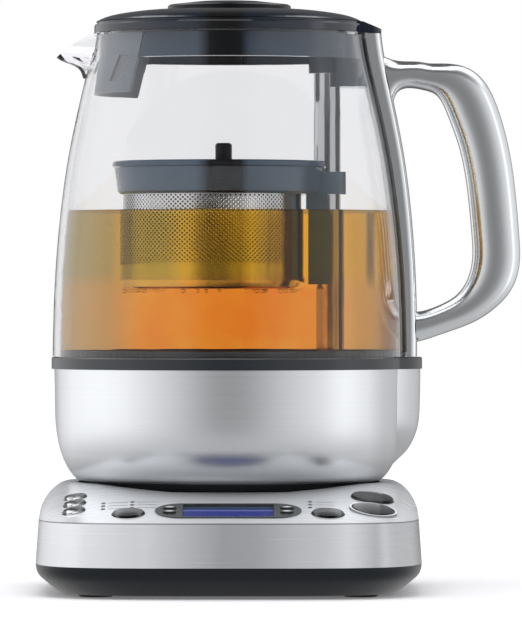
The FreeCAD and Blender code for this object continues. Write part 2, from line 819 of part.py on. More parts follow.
def display_window():
    """The clear window over the screen."""
    width = display_length / 2 - display_rim
    low = display_proud - window_thickness
    window = block((-window_width / 2, -width, low), (window_width / 2, width, display_proud))
    top_edges = [edge for edge in window.Edges if edge.BoundBox.ZMin > display_proud - touching]
    return on_panel(window.makeFillet(window_edge, top_edges), 0, display_y)


def brew_ring():
    """The lit ring round the brew button."""
    inner = large_radius + button_gap
    ring = tube(inner + ring_width, inner, -cover_wall - seat - ring_sunk, ring_proud)
    return on_panel(ring, large_x, brew_y)


def indicator_lights():
    """Small light guides beside the printed settings."""
    lights = []
    for x, y in light_places:
        depth = board_distance(x, y)
        foot = cylinder(light_foot_radius, light_gap - depth, light_gap + light_foot_height - depth)
        head = cylinder(light_radius, light_gap + light_foot_height / 2 - depth, light_proud)
        lights.append(on_panel(fused(head, foot), x, y))
    return Part.makeCompound(lights)


def control_board():
    """The circuit board under the panel, with one small switch soldered under each button."""
    room = cushion(cover_wall + carrier_wall + board_margin, foot_pad_height + tray_wall)
    slab = below_board(0).cut(below_board(-board_thickness))
    front = block((-base_half_width, -base_front, 0), (base_half_width, -board_back, base_top))
    board = slab.common(room).common(front)
    return Part.makeCompound([board] + tact_switches())


def tact_switches():
    """One small switch under each button."""
    switches = []
    for x, y, _ in button_places.values():
        foot = Vector(x, y, panel_height(x, y)) - panel_normal(x, y) * board_distance(x, y)
        switches.append(switch_at(foot, switch_size))
    for x, y in arrow_places.values():
        across = (y - display_y) / board_normal.z
        up_slope = Vector(0, board_normal.z, -board_normal.y)
        switches.append(switch_at(board_point + Vector(x, 0, 0) + up_slope * across, arrow_switch_size))
    return switches


def switch_at(point, size):
    """A square switch with its plunger, standing on the control board at a point."""
    body = block((-size / 2, -size / 2, touching), (size / 2, size / 2, switch_height))
    plunger = cylinder(plunger_radius, switch_height - overlap, plunger_top)
    shape = fused(body, plunger)
    shape.Placement = FreeCAD.Placement(point, Rotation(Vector(0, 0, 1), board_normal))
    return shape


# ---------------------------------------------------------------- base: power
def connector_hub():
    """The round plug in the middle of the dish, on which the jug turns."""
    high = dish_floor - cover_wall - carrier_wall - 2 * seat
    low = high - hub_flange_height
    hub = fused(cylinder(hub_radius, low, hub_top), cylinder(hub_radius + hub_flange, low, high))
    top_edges = [edge for edge in hub.Edges if edge.BoundBox.ZMin > hub_top - touching]
    hub = hub.makeChamfer(hub_chamfer, top_edges)
    for middle in groove_middles:
        outer = middle + groove_width / 2
        hub = hub.cut(tube(outer, middle - groove_width / 2, hub_top - groove_depth, hub_top + overlap))
    return hub.cut(cylinder(pin_radius + slip, hub_top - groove_depth, hub_top + overlap))


def hub_contacts():
    """The brass rings inside the hub's grooves."""
    rings = []
    for middle in groove_middles:
        outer = middle + groove_width / 2
        low = hub_top - groove_depth
        rings.append(tube(outer, outer - contact_thickness, low, low + contact_height))
    return Part.makeCompound(rings)


def power_board():
    """The mains circuit board on the tray's standoffs, with the parts soldered to it."""
    low = foot_pad_height + tray_wall + standoff_height
    board = block((-power_board_width / 2, power_board_y - power_board_length / 2, low),
                  (power_board_width / 2, power_board_y + power_board_length / 2, low + board_thickness))
    top = low + board_thickness
    for x, y in power_posts:
        board = board.cut(cylinder(standoff_hole, low - overlap, top + overlap, x, y))
    mounted = [block((*first, top), (*second, top + height)) for first, second, height in power_blocks]
    mounted += [cylinder(radius, top, top + height, x, y) for radius, height, x, y in power_capacitors]
    for part in mounted:
        part.translate(Vector(0, power_board_y, 0))
    return Part.makeCompound([board] + mounted)


# ---------------------------------------------------------------- jug: body
def body_solid(inset):
    """The belly of the jug with the pod under the handle, drawn in by inset."""
    belly = bellied([(body_radius - narrowing - inset, dish_floor + height + inset * (height < curved_below))
                     for height, narrowing in body_curve])
    pod = bellied([(pod_radius - narrowing - inset, dish_floor + height + inset * (height < curved_below))
                   for height, narrowing in pod_curve], pod_x)
    return belly.fuse(pod)


def jug_body():
    """The brushed steel body that holds the heater and the lift's motor."""
    low = dish_floor + body_curve[0][0]
    foot_hole = cylinder(body_radius - body_curve[0][1] - body_wall, low - overlap, low + 2 * overlap)
    return body_solid(0).cut(fused(body_solid(body_wall), foot_hole))


def jug_foot():
    """The black foot, with the socket that fits over the hub."""
    edge = dish_floor + body_curve[0][0]
    radius = body_radius - body_curve[0][1] - body_wall - seat
    inner = radius - foot_lip_wall
    lip_top = edge + foot_lip_height
    bowl = turned(((0, dish_floor), (foot_radius, dish_floor), (radius + body_wall, edge - seat),
                   (radius, edge - seat), (radius, lip_top), (inner, lip_top), (inner, foot_top), (0, foot_top)))
    socket = cylinder(hub_radius + slip + socket_wall, dish_floor, connector_top)
    foot = fused(bowl, socket, cradle())
    return foot.cut(cylinder(hub_radius + slip, dish_floor - overlap, connector_top + overlap))


def cradle():
    """The cup on the foot that holds the lift's motor."""
    radius = motor_radius + seat
    cup = cylinder(radius + cradle_wall, dish_floor, motor_bottom + motor_height / 2, post_x)
    return cup.cut(cylinder(radius, motor_bottom - seat, motor_top, post_x))


def jug_connector():
    """The socket insert whose blades and pin enter the hub; it keeps still while the jug turns."""
    insert = cylinder(hub_radius, connector_bottom, connector_top + slip + overlap)
    lip_low = connector_top + slip
    lip = cylinder(hub_radius + connector_lip, lip_low, lip_low + connector_lip_height)
    low = connector_bottom - blade_reach
    blades = [tube(middle + blade_thickness / 2, middle - blade_thickness / 2, low, connector_top)
              for middle in groove_middles]
    return fused(insert, lip, cylinder(pin_radius, low, connector_top), *blades)


def trim_ring():
    """The black ring between steel and glass, which also covers the pod."""
    radius = body_radius + trim_proud
    ring = fused(cylinder(radius, body_top, trim_top),
                 cylinder(pod_radius + trim_pod_proud, body_top, trim_top, pod_x))
    top_edges = [edge for edge in ring.Edges if edge.BoundBox.ZMin > trim_top - touching]
    ring = ring.makeChamfer(trim_edge, top_edges)
    ring = ring.cut(cylinder(trim_bore, body_top + trim_flange, trim_top + overlap))
    ring = ring.cut(cylinder(plate_radius, body_top - overlap, trim_top))
    lip_radius = body_radius - body_wall - slip
    lip = tube(lip_radius, lip_radius - trim_lip_wall, body_top - trim_lip_depth, body_top + trim_flange / 2)
    return fused(ring, lip)


# ---------------------------------------------------------------- jug: glass
def glass_solid(foot_offset, rim_offset, low=None):
    """The glass's outer shape moved outwards by offsets at foot and rim, and carried on past both ends."""
    narrowing = glass_foot_radius - glass_rim_radius
    points = []
    for height, narrowed in glass_curve:
        offset = foot_offset + (rim_offset - foot_offset) * height
        radius = glass_foot_radius - narrowing * narrowed + offset
        points.append(Vector(radius, 0, glass_shoulder + glass_height * height))
    low = glass_shoulder - 2 * overlap if low is None else low
    high = rim + 10.0
    foot, top = Vector(points[0].x, 0, low), Vector(points[-1].x, 0, high)
    edges = [Part.makeLine(foot, points[0])] if low < glass_shoulder else []
    start = foot if edges else points[0]
    axis_low, axis_high = Vector(0, 0, start.z), Vector(0, 0, high)
    edges += [smooth(points), Part.makeLine(points[-1], top), Part.makeLine(top, axis_high),
              Part.makeLine(axis_high, axis_low), Part.makeLine(axis_low, start)]
    return Part.Face(Part.Wire(edges)).revolve(Vector(0, 0, 0), Vector(0, 0, 1), 360)


def layer(low, high, inner, outer):
    """A wall that follows the glass between two heights, from one offset to another."""
    slab = cylinder(2 * glass_foot_radius, low, high)
    return glass_solid(outer, outer).cut(glass_solid(inner, inner)).common(slab)


def beak(inset):
    """The spout's body, drawn in by inset: level slices that reach out further as they rise."""
    slices = []
    start = glass_foot_radius - (glass_foot_radius - glass_rim_radius) * spout_start
    for drop, reach in spout_stages:
        height = rim - spout_depth * drop + (inset if drop > spout_thick_drop else 0)
        tip = start + (spout_reach - start) * reach - inset
        radius = spout_tip_radius - inset * 0.7
        slices.append(beak_slice(tip, radius, spout_half_width - inset, height))
    return Part.makeLoft(slices, True, False)


def beak_slice(tip, radius, half_width, height):
    """A level outline with a round tip at -X and two straight sides that run back into the jug."""
    root = -glass_rim_radius * spout_root
    centre = -(tip - radius)
    side = math.hypot(root - centre, half_width)
    lean = math.asin(radius / side) + math.atan2(half_width, root - centre)
    touch = Vector(centre - radius * math.sin(lean), radius * math.cos(lean), height)
    other = Vector(touch.x, -touch.y, height)
    corners = (Vector(root, half_width, height), Vector(root, -half_width, height))
    arc = Part.Arc(touch, Vector(-tip, 0, height), other).toShape()
    return Part.Wire([Part.makeLine(corners[0], touch), arc, Part.makeLine(other, corners[1]),
                      Part.makeLine(corners[1], corners[0])])


def pouring_edge():
    """What the sloping, slightly crowned top edge of the spout takes away."""
    past_out, past_down = spout_edge_past
    inner = Vector(-glass_rim_radius + spout_edge_inset, 0, rim)
    tip = Vector(-spout_reach - past_out, 0, rim - spout_drop - past_down)
    crown = Vector((inner.x + tip.x) / 2, 0, (inner.z + tip.z) / 2 + spout_edge_crown)
    high = rim + 20.0
    far = -spout_reach - 20.0
    outline = [Part.Arc(inner, crown, tip).toShape(), Part.makeLine(tip, Vector(far, 0, tip.z)),
               Part.makeLine(Vector(far, 0, tip.z), Vector(far, 0, high)),
               Part.makeLine(Vector(far, 0, high), Vector(inner.x, 0, high)),
               Part.makeLine(Vector(inner.x, 0, high), inner)]
    face = Part.Face(Part.Wire(outline))
    face.translate(Vector(0, -2 * spout_half_width, 0))
    return face.extrude(Vector(0, 4 * spout_half_width, 0))


def glass_jug():
    """The glass: a tapering wall with a pulled spout, open at top and bottom."""
    below = cylinder(2 * glass_foot_radius, glass_shoulder, rim)
    neck = cylinder(glass_foot_radius - glass_neck, glass_seat, glass_shoulder + overlap)
    outer = fused(glass_solid(0, 0).common(below), neck)
    outer = outer.fuse(beak(0).cut(cylinder(2 * spout_reach, rim, rim + 20.0)).cut(pouring_edge()))
    inner = glass_solid(-glass_wall, -glass_wall, glass_seat - overlap).fuse(beak(spout_wall))
    return outer.cut(inner)


def floor_gasket():
    """The silicone ring that seals the glass to the heater plate."""
    high = body_top + trim_flange + gasket_height
    ring = tube(gasket_radius - seat, plate_radius, body_top + trim_flange, high)
    under_top = glass_seat - touching
    under = tube(glass_foot_radius - glass_neck - seat, plate_radius, body_top + trim_flange, under_top)
    return fused(ring, under)


def heater_plate():
    """The steel floor of the jug."""
    low = plate_bottom - overlap
    high = plate_top + overlap
    plate = cylinder(plate_radius - running, plate_bottom, plate_top)
    plate = plate.cut(cylinder(post_radius + seat, low, high, post_x))
    return plate.cut(cylinder(probe_stem_radius + seat, low, high, probe_x, probe_y))


def heating_element():
    """The tubular element under the plate, with its two legs."""
    middle = plate_bottom - element_tube - running
    ring = Part.makeTorus(element_radius, element_tube, Vector(0, 0, middle), Vector(0, 0, 1), -180, 180,
                          360 - element_gap_angle)
    ring.rotate(Vector(0, 0, 0), Vector(0, 0, 1), 180 + element_gap_angle / 2)
    legs = []
    for turn in (-1, 1):
        angle = math.radians(180 + turn * element_gap_angle / 2)
        x, y = element_radius * math.cos(angle), element_radius * math.sin(angle)
        legs.append(cylinder(element_leg_radius, middle - element_leg, middle, x, y))
    return fused(ring, *legs)


def temperature_probe():
    """The sensor that stands in the heater plate."""
    low = plate_top + touching
    high = plate_top + probe_height
    dome = turned(((0, low), (probe_radius, low), (probe_radius, high - probe_edge),
                   (probe_radius - probe_edge, high), (0, high)))
    probe = fused(dome, cylinder(probe_stem_radius, plate_bottom - probe_stem_depth, low + overlap))
    probe.translate(Vector(probe_x, probe_y, 0))
    return probe


# ---------------------------------------------------------------- jug: basket lift
def guide_post():
    """The polished tube that the basket slides on."""
    cap_low = post_top - post_cap
    post = cylinder(post_radius, post_bottom, post_top, post_x)
    bore = cylinder(post_radius - post_wall, post_bottom - overlap, cap_low - bearing_height, post_x)
    bearing = cylinder(lead_screw_radius + running, post_bottom - overlap, cap_low, post_x)
    return post.cut(bore).cut(bearing)


def post_seal():
    """The silicone collar where the post passes the floor."""
    bore = post_radius + touching
    high = plate_top + seal_height
    seal = turned(((bore, plate_top), (seal_radius, plate_top), (seal_radius, plate_top + seal_edge),
                   (bore + seal_neck, high), (bore, high)))
    seal.translate(Vector(post_x, 0, 0))
    return seal


def lift_motor():
    """The geared motor under the post."""
    motor = cylinder(motor_radius, motor_bottom, motor_top, post_x)
    nose = cylinder(nut_radius, motor_top - overlap, post_bottom + motor_nose, post_x)
    low = motor_top - motor_socket
    bore = cylinder(lead_screw_radius + running, low, post_bottom + 2 * motor_nose, post_x)
    return fused(motor, nose).cut(bore)


def lead_screw():
    """The screw inside the post that lifts the magnet carriage."""
    low = motor_top - motor_socket + lead_screw_play
    return cylinder(lead_screw_radius, low, post_top - post_cap - lead_screw_play, post_x)


def magnet_carriage():
    """The nut on the lead screw, with two grooves for its ring magnets."""
    low = nut_middle - carriage_height / 2
    nut = tube(nut_radius, lead_screw_radius + running, low, low + carriage_height, post_x)
    return nut.cut(ring_magnets(nut_radius + overlap))


def ring_magnets(radius):
    """Two rings in the nut's grooves, out to a radius."""
    inner = nut_radius - magnet_depth
    lows = (nut_middle - magnet_gap / 2 - magnet_height, nut_middle + magnet_gap / 2)
    return Part.makeCompound([tube(radius, inner, low, low + magnet_height, post_x) for low in lows])


def carriage_magnets():
    """Two ring magnets round the nut."""
    return ring_magnets(nut_radius)


# ---------------------------------------------------------------- jug: mouth
def mouth_ring():
    """The plastic ring in the jug's mouth, with the holder for the top of the post."""
    high = rim - mouth_ring_below_rim
    low = high - mouth_ring_height
    body = glass_solid(-glass_wall - slip, -glass_wall - slip)
    ring = body.common(cylinder(glass_foot_radius, low, high))
    ring = ring.cut(cylinder(mouth_opening_radius, low - overlap, high + overlap))
    tab = body.common(block((post_x + tab_start, -tab_half_width, rim - tab_drop),
                            (glass_foot_radius, tab_half_width, rim - skirt_drop - tab_gap)))
    holder_top = post_top + holder_wall
    holder = cylinder(holder_radius, holder_top - holder_height, holder_top, post_x)
    ring = fused(ring, tab, holder)
    ring = ring.cut(cylinder(post_radius + running, rim - 2 * tab_drop, post_top, post_x))
    return ring.cut(filter_wedge(filter_margin))


def filter_wedge(margin):
    """The part of the jug's mouth that belongs to the spout filter: a wedge that narrows downwards."""
    high = rim + overlap
    low = rim - filter_drop - (overlap if margin else 0)
    reach = 2 * glass_foot_radius
    slices = []
    for height, angle in ((low, filter_angle_bottom), (high, filter_angle_top)):
        half = math.radians(angle + margin / 2)
        side = Vector(-reach * math.cos(half), reach * math.sin(half), height)
        points = [Vector(0, 0, height), side, Vector(-2 * reach, 0, height), Vector(side.x, -side.y, height)]
        slices.append(Part.makePolygon(points + points[:1]))
    return Part.makeLoft(slices, True, True)


def slot_windows():
    """The two slanted window openings of the spout filter."""
    windows = []
    for side in (-1, 1):
        slices = []
        for drop, shift in ((window_bottom_drop, -window_slant / 2), (window_top_drop, window_slant / 2)):
            height = rim - drop
            points = [Vector(0, 0, height)]
            for edge in (-1, 1):
                angle = math.radians(window_angle + shift + edge * window_half_angle)
                along = Vector(-math.cos(angle), side * math.sin(angle), 0) * 2 * glass_foot_radius
                points.append(along + Vector(0, 0, height))
            slices.append(Part.makePolygon(points + points[:1]))
        windows.append(Part.makeLoft(slices, True, True))
    return windows


def shield_layer(inner, outer):
    """A wall in the mouth that leans less than the glass, from one offset at the rim to another."""
    slab = cylinder(2 * glass_foot_radius, rim - filter_drop, rim - mouth_ring_below_rim)
    wall = glass_solid(outer - filter_lean, outer).cut(glass_solid(inner - filter_lean, inner))
    return wall.common(slab)


def spout_filter():
    """The curved shield before the spout, with a slanted window at each side."""
    outer = -glass_wall - slip
    shield = shield_layer(outer - filter_thickness, outer)
    shield = shield.common(filter_wedge(0))
    for window in slot_windows():
        shield = shield.cut(window)
    return shield


def filter_mesh():
    """The fine steel mesh in the filter's windows."""
    middle = -glass_wall - slip - filter_thickness / 2
    half = mesh_thickness / 2
    sheet = shield_layer(middle - half, middle + half)
    return Part.makeCompound([sheet.common(window).Solids[0] for window in slot_windows()])


# ---------------------------------------------------------------- lid
def lid_cover():
    """The glossy lid: a low dome with a tab over the top of the handle's spine."""
    flange_radius = skirt_radius + seat
    edge_top = lid_bottom + lid_edge
    dome = [Vector(radius, 0, lid_bottom + height) for radius, height in lid_curve]
    ceiling = [point - Vector(0, 0, lid_wall) for point in reversed(dome[1:])]
    side = [Vector(radius, 0, lid_bottom + height) for radius, height in lid_groove]
    side = [Vector(lid_radius, 0, lid_bottom), Vector(lid_radius, 0, edge_top), *side, dome[0]]
    hub = [dome[-1], Vector(0, 0, lid_top), Vector(0, 0, lid_top - lid_wall), ceiling[0]]
    foot = [ceiling[-1], Vector(lid_radius - lid_edge_wall, 0, edge_top),
            Vector(flange_radius + overlap, 0, lid_bottom + lid_wall),
            Vector(flange_radius, 0, lid_bottom + lid_wall), Vector(flange_radius, 0, lid_bottom), side[0]]
    edges = Part.makePolygon(side).Edges + [smooth(dome)] + Part.makePolygon(hub).Edges + [smooth(ceiling)]
    shell = Part.Face(Part.Wire(edges + Part.makePolygon(foot).Edges))
    shell = shell.revolve(Vector(0, 0, 0), Vector(0, 0, 1), 360)
    root = lid_radius - lid_tab_root
    wedge = [Vector(x, -lid_tab_half_width, lid_bottom + height)
             for x, height in ((root, 0), (lid_tab_reach, 0), (lid_tab_reach, lid_tab_thickness),
                               (lid_curve[0][0], lid_tab_rise), (root, lid_tab_rise))]
    tab = Part.Face(Part.makePolygon(wedge + wedge[:1])).extrude(Vector(0, 2 * lid_tab_half_width, 0))
    tab = tab.makeFillet(lid_tab_round, upright_edges(tab, lid_tab_reach))
    boss = cylinder(lid_boss_radius, lid_boss_bottom, lid_top - lid_wall / 2)
    lid = fused(shell, tab, boss)
    return lid.cut(cylinder(screw_radius, lid_boss_bottom - overlap, lid_top + overlap))


def upright_edges(shape, x):
    """The upright edges of a block at its face in a plane of x."""
    return [edge for edge in shape.Edges
            if abs(edge.BoundBox.XMin - x) < touching and edge.BoundBox.ZLength > touching]


def lid_knob():
    """The round black grip on the lid."""
    low = lid_top + touching
    high = low + knob_height
    shoulder = low + (knob_edge + knob_height) / 2.5
    profile = ((screw_radius, low), (knob_radius, low), (knob_radius, low + knob_edge),
               (knob_radius - 1, shoulder), (knob_radius / 2, high - knob_height / 10), (0, high),
               (0, low + knob_edge), (screw_radius, low + knob_edge))
    return turned(profile)


def lid_skirt():
    """The cup under the lid that enters the mouth."""
    low = rim - skirt_drop
    high = lid_bottom + lid_wall
    hollow = cylinder(skirt_radius - skirt_wall, low + skirt_wall, high + overlap)
    seal_low = rim - lid_seal_drop
    groove = tube(skirt_radius + overlap, skirt_radius - lid_seal_depth, seal_low, seal_low + lid_seal_height)
    return cylinder(skirt_radius, low, high).cut(hollow).cut(groove)


def lid_seal():
    """The silicone ring round the lid's skirt."""
    low = rim - lid_seal_drop
    return tube(skirt_radius + lid_seal_proud, skirt_radius - lid_seal_depth, low + touching,
                low + lid_seal_height - touching)


def lid_screw():
    """The screw that holds the knob."""
    head = cylinder(screw_head_radius, lid_boss_bottom - screw_head_height, lid_boss_bottom - touching)
    shank = cylinder(screw_radius - running, lid_boss_bottom - overlap, lid_top + knob_edge - seat)
    return fused(head, shank)


# ---------------------------------------------------------------- basket
def basket_collar():
    """The grey collar of the basket, with the sleeve and the leg that slide on the post."""
    bottom_radius = collar_radius - collar_taper
    lip_low = collar_top - collar_lip_height
    ledge = collar_bottom + collar_ledge
    lip_radius = collar_radius + collar_lip
    profile = ((0, collar_bottom), (bottom_radius - collar_edge, collar_bottom),
               (bottom_radius, collar_bottom + collar_edge), (collar_radius, lip_low - collar_lip_edge),
               (lip_radius, lip_low), (lip_radius, collar_top - collar_lip_edge),
               (lip_radius - collar_lip_edge, collar_top), (collar_opening, collar_top),
               (collar_ledge_radius, ledge), (0, ledge))
    ring = turned(profile, collar_x)
    inner_face = post_x - sleeve_radius - sleeve_wall
    outer_face = post_x + sleeve_radius + sleeve_wall
    sleeve = block((inner_face, -sleeve_half_width, collar_bottom),
                   (outer_face, sleeve_half_width, collar_bottom + sleeve_height))
    sleeve = sleeve.makeFillet(sleeve_round, upright_edges(sleeve, outer_face))
    cup_room = cylinder(cup_radius + running, collar_bottom - overlap, ledge + overlap, cup_x)
    cup_room = cup_room.cut(block((inner_face, -sleeve_half_width, 0), (2 * post_x, sleeve_half_width, rim)))
    post_room = cylinder(sleeve_radius, leg_bottom - overlap, collar_top + overlap, post_x)
    collar = fused(ring, sleeve, basket_leg()).cut(cup_room).cut(post_room)
    for magnet in bar_magnet_blocks(0):
        collar = collar.cut(magnet)
    return collar


def basket_leg():
    """The channel below the sleeve that guides the basket on the post."""
    inner = post_x - sleeve_radius - leg_back
    hollow = leg_half_width - leg_cheek
    high = collar_bottom + overlap
    leg = block((inner, -leg_half_width, leg_bottom), (inner + leg_reach, leg_half_width, high))
    return leg.cut(block((post_x - sleeve_radius, -hollow, leg_bottom - overlap),
                         (post_x + post_radius, hollow, high)))


def bar_magnet_blocks(shrink):
    """The bars in the sleeve's two cheeks, made smaller by shrink."""
    half_width = bar_magnet_width / 2 - shrink
    half_thickness = bar_magnet_thickness / 2 - shrink
    half_height = bar_magnet_height / 2 - shrink
    offset = sleeve_radius + bar_magnet_cover + bar_magnet_thickness / 2
    low = Vector(post_x - half_width, -half_thickness, nut_middle - half_height)
    high = Vector(post_x + half_width, half_thickness, nut_middle + half_height)
    return [block(low + side, high + side) for side in (Vector(0, -offset, 0), Vector(0, offset, 0))]


def basket_magnets():
    """Two bar magnets sealed in the sleeve."""
    return Part.makeCompound(bar_magnet_blocks(touching))


def basket_cup():
    """The thin steel wall of the basket."""
    high = collar_bottom + collar_ledge
    return tube(cup_radius, cup_radius - cup_wall, cup_bottom, high, cup_x)


def basket_base():
    """The pressed steel bottom of the basket."""
    low = cup_bottom - cup_base_height
    high = cup_bottom - touching
    bead = cup_radius + cup_base_bead
    profile = ((0, low), (bead - 3.0, low), (bead - 1.0, low + 0.9), (bead - 0.4, low + 2.6),
               (bead, high - 0.8), (bead, high), (cup_radius - cup_wall, high), (cup_radius - 2.0, low + 2.0),
               (cup_radius - 4.0, low + cup_floor), (0, low + cup_floor))
    return turned(profile, cup_x)


def basket_lid():
    """The flat lid of the basket, cut straight beside the post."""
    low = basket_lid_bottom
    disc = cylinder(basket_lid_radius, low, low + basket_lid_thickness, collar_x)
    limit = post_x - sleeve_radius - sleeve_wall - slip
    disc = disc.cut(block((limit, -basket_lid_radius, low - overlap), (2 * post_x, basket_lid_radius, rim)))
    hole = cylinder(basket_knob_peg + running, low - overlap, low + 2 * basket_lid_thickness, basket_knob_x)
    return disc.cut(hole)


def basket_lid_knob():
    """The small black knob on the basket's lid."""
    low = basket_lid_bottom + basket_lid_thickness + touching
    high = low + basket_knob_height
    profile = ((0, basket_lid_bottom), (basket_knob_peg, basket_lid_bottom), (basket_knob_peg, low),
               (basket_knob_radius, low), (basket_knob_radius, high - basket_knob_edge),
               (basket_knob_radius - basket_knob_edge, high), (0, high))
    return turned(profile, basket_knob_x)


# ---------------------------------------------------------------- handle
def handle_points(fractions):
    """Turns fractions of the handle's length and height into points."""
    start = Vector(handle_start, 0, handle_foot)
    return [start + Vector(handle_length * out, 0, handle_height * up) for out, up in fractions]


def spine():
    """The polished steel strip up the jug's back, which carries the handle."""
    inner = pad_thickness + 2 * seat
    strip = glass_solid(spine_foot_thickness, spine_rim_thickness).cut(glass_solid(inner, inner))
    far = 2 * glass_foot_radius
    strip = strip.common(block((0, -spine_half_width, spine_bottom), (far, spine_half_width, rim)))
    middle = (spine_bottom + rim) / 2
    long_edges = [edge for edge in strip.Edges if edge.BoundBox.ZMin < middle < edge.BoundBox.ZMax]
    long_edges.sort(key=lambda edge: edge.BoundBox.XMax)
    strip = strip.makeFillet(spine_round, long_edges[-2:])
    for height in handle_screw_heights:
        hole = Part.makeCylinder(handle_screw_radius + seat, far, Vector(0, 0, height), Vector(1, 0, 0))
        strip = strip.cut(hole)
    return strip


def spine_pad():
    """The dark pad that beds the spine on the glass."""
    pad = layer(spine_bottom, rim, seat, seat + pad_thickness)
    width = spine_half_width - pad_inset
    far = 2 * glass_foot_radius
    return pad.common(block((0, -width, spine_bottom + pad_inset), (far, width, rim - pad_inset)))


def insert_blank(grow):
    """The band along the inner side of the grip, as a slab that also fills the finger gap beside it."""
    curve = handle_points(insert_curve)
    start, end = curve[0], curve[-1]
    gap_x = handle_start + handle_length * finger_gap_middle
    edges = [smooth(curve), Part.makeLine(end, Vector(gap_x, 0, end.z)),
             Part.makeLine(Vector(gap_x, 0, end.z), Vector(gap_x, 0, start.z)),
             Part.makeLine(Vector(gap_x, 0, start.z), start)]
    half = insert_half_width + grow
    face = Part.Face(Part.Wire(edges))
    face.translate(Vector(0, -half, 0))
    return face.extrude(Vector(0, 2 * half, 0))


def grip_section(outer, inner):
    """A closed rounded outline from one point of the grip's outer side to one of its inner side."""
    middle, reach = (outer + inner) * 0.5, (outer - inner) * 0.5
    depth = Vector(0, handle_half_width, 0)
    points = []
    for step in range(section_points):
        turn = 2 * math.pi * step / section_points
        along, across = [math.copysign(abs(part) ** (2 / handle_squareness), part)
                         for part in (math.cos(turn), math.sin(turn))]
        points.append(middle + reach * along + depth * across)
    # One set of parameters for all sections keeps the loft's lines straight along the grip.
    spread = [step / section_points for step in range(section_points + 1)]
    curve = Part.BSplineCurve()
    curve.interpolate(points, PeriodicFlag=True, Parameters=spread)
    return Part.Wire([curve.toShape()])


def grip_body():
    """The grip's rounded bar from inside the spine at the top, round to inside the spine at the foot."""
    outer = smooth(handle_points(handle_outer))
    inner = smooth(list(reversed(handle_points(handle_inner))))
    pairs = []
    for outer_share, inner_share in grip_stations:
        pairs.append([edge.valueAt(edge.getParameterByLength(share * edge.Length))
                      for edge, share in ((outer, outer_share), (inner, inner_share))])
    top, foot = pairs[0], pairs[-1]
    roots = [Vector(glass_rim_radius, 0, point.z) for point in top]
    ends = [Vector(glass_foot_radius - handle_root, 0, point.z) for point in foot]
    sections = [grip_section(*pair) for pair in (roots, *pairs, ends)]
    return Part.makeLoft(sections, True, False)


def handle():
    """The satin grip: a closed loop of a rounded bar."""
    grip = grip_body()
    grip = grip.cut(glass_solid(spine_foot_thickness + touching, spine_rim_thickness + touching))
    grip = grip.cut(insert_blank(running))
    for height in handle_screw_heights:
        length = screw_start(height) + handle_screw_length + seat
        grip = grip.cut(Part.makeCylinder(handle_screw_radius, length, Vector(0, 0, height), Vector(1, 0, 0)))
    return grip


def screw_start(height):
    """Where a handle screw's head lies, just outside the pad."""
    fraction = (height - glass_shoulder) / glass_height
    narrowing = glass_foot_radius - glass_rim_radius
    pairs = list(zip(glass_curve, glass_curve[1:]))
    for (low, first), (high, second) in pairs:
        if low <= fraction <= high:
            narrowed = first + (second - first) * (fraction - low) / (high - low)
    return glass_foot_radius - narrowing * narrowed + pad_thickness + handle_screw_sunk


def handle_insert():
    """The polished insert along the inner side of the grip."""
    return grip_body().common(insert_blank(0))


def handle_screws():
    """Two screws that hold the handle to the spine."""
    radius = handle_screw_radius - touching
    starts = [Vector(screw_start(height), 0, height) for height in handle_screw_heights]
    return Part.makeCompound([Part.makeCylinder(radius, handle_screw_length, start, Vector(1, 0, 0))
                              for start in starts])


# ---------------------------------------------------------------- all pieces
pieces = {
    "base_cover": base_cover,
    "panel_carrier": panel_carrier,
    "base_tray": base_tray,
    "foot_pads": foot_pads,
    "base_screws": base_screws,
    "cord_gland": cord_gland,
    "display_frame": display_frame,
    "display_screen": display_screen,
    "display_window": display_window,
    "brew_ring": brew_ring,
    "indicator_lights": indicator_lights,
    "control_board": control_board,
    "connector_hub": connector_hub,
    "hub_contacts": hub_contacts,
    "power_board": power_board,
    "jug_body": jug_body,
    "jug_foot": jug_foot,
    "jug_connector": jug_connector,
    "trim_ring": trim_ring,
    "glass_jug": glass_jug,
    "floor_gasket": floor_gasket,
    "heater_plate": heater_plate,
    "heating_element": heating_element,
    "temperature_probe": temperature_probe,
    "guide_post": guide_post,
    "post_seal": post_seal,
    "lift_motor": lift_motor,
    "lead_screw": lead_screw,
    "magnet_carriage": magnet_carriage,
    "carriage_magnets": carriage_magnets,
    "mouth_ring": mouth_ring,
    "spout_filter": spout_filter,
    "filter_mesh": filter_mesh,
    "lid_cover": lid_cover,
    "lid_knob": lid_knob,
    "lid_skirt": lid_skirt,
    "lid_seal": lid_seal,
    "lid_screw": lid_screw,
    "basket_collar": basket_collar,
    "basket_magnets": basket_magnets,
    "basket_cup": basket_cup,
    "basket_base": basket_base,
    "basket_lid": basket_lid,
    "basket_lid_knob": basket_lid_knob,
    "spine": spine,
    "spine_pad": spine_pad,
    "handle": handle,
    "handle_insert": handle_insert,
    "handle_screws": handle_screws,
}

os.makedirs("parts", exist_ok=True)
for piece_name, make in pieces.items():
    export(piece_name, make())
for button_name, button_piece in buttons().items():
    export(button_name, button_piece)
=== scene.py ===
"""Looks of a free-standing automatic tea maker, built on its packed construction parts.

Every construction part gets its finish here. New pieces are the tea in the jug, the bubbles under the
basket, the perforated wall of the basket and the plain marks beside the indicator lights.
All sizes are in metres, in the frame of the parts: +Z up, -Y to the front, -X to the spout.
"""

import logging
import math
import random
from collections.abc import Callable
from dataclasses import dataclass, replace
from enum import Enum
from typing import Protocol

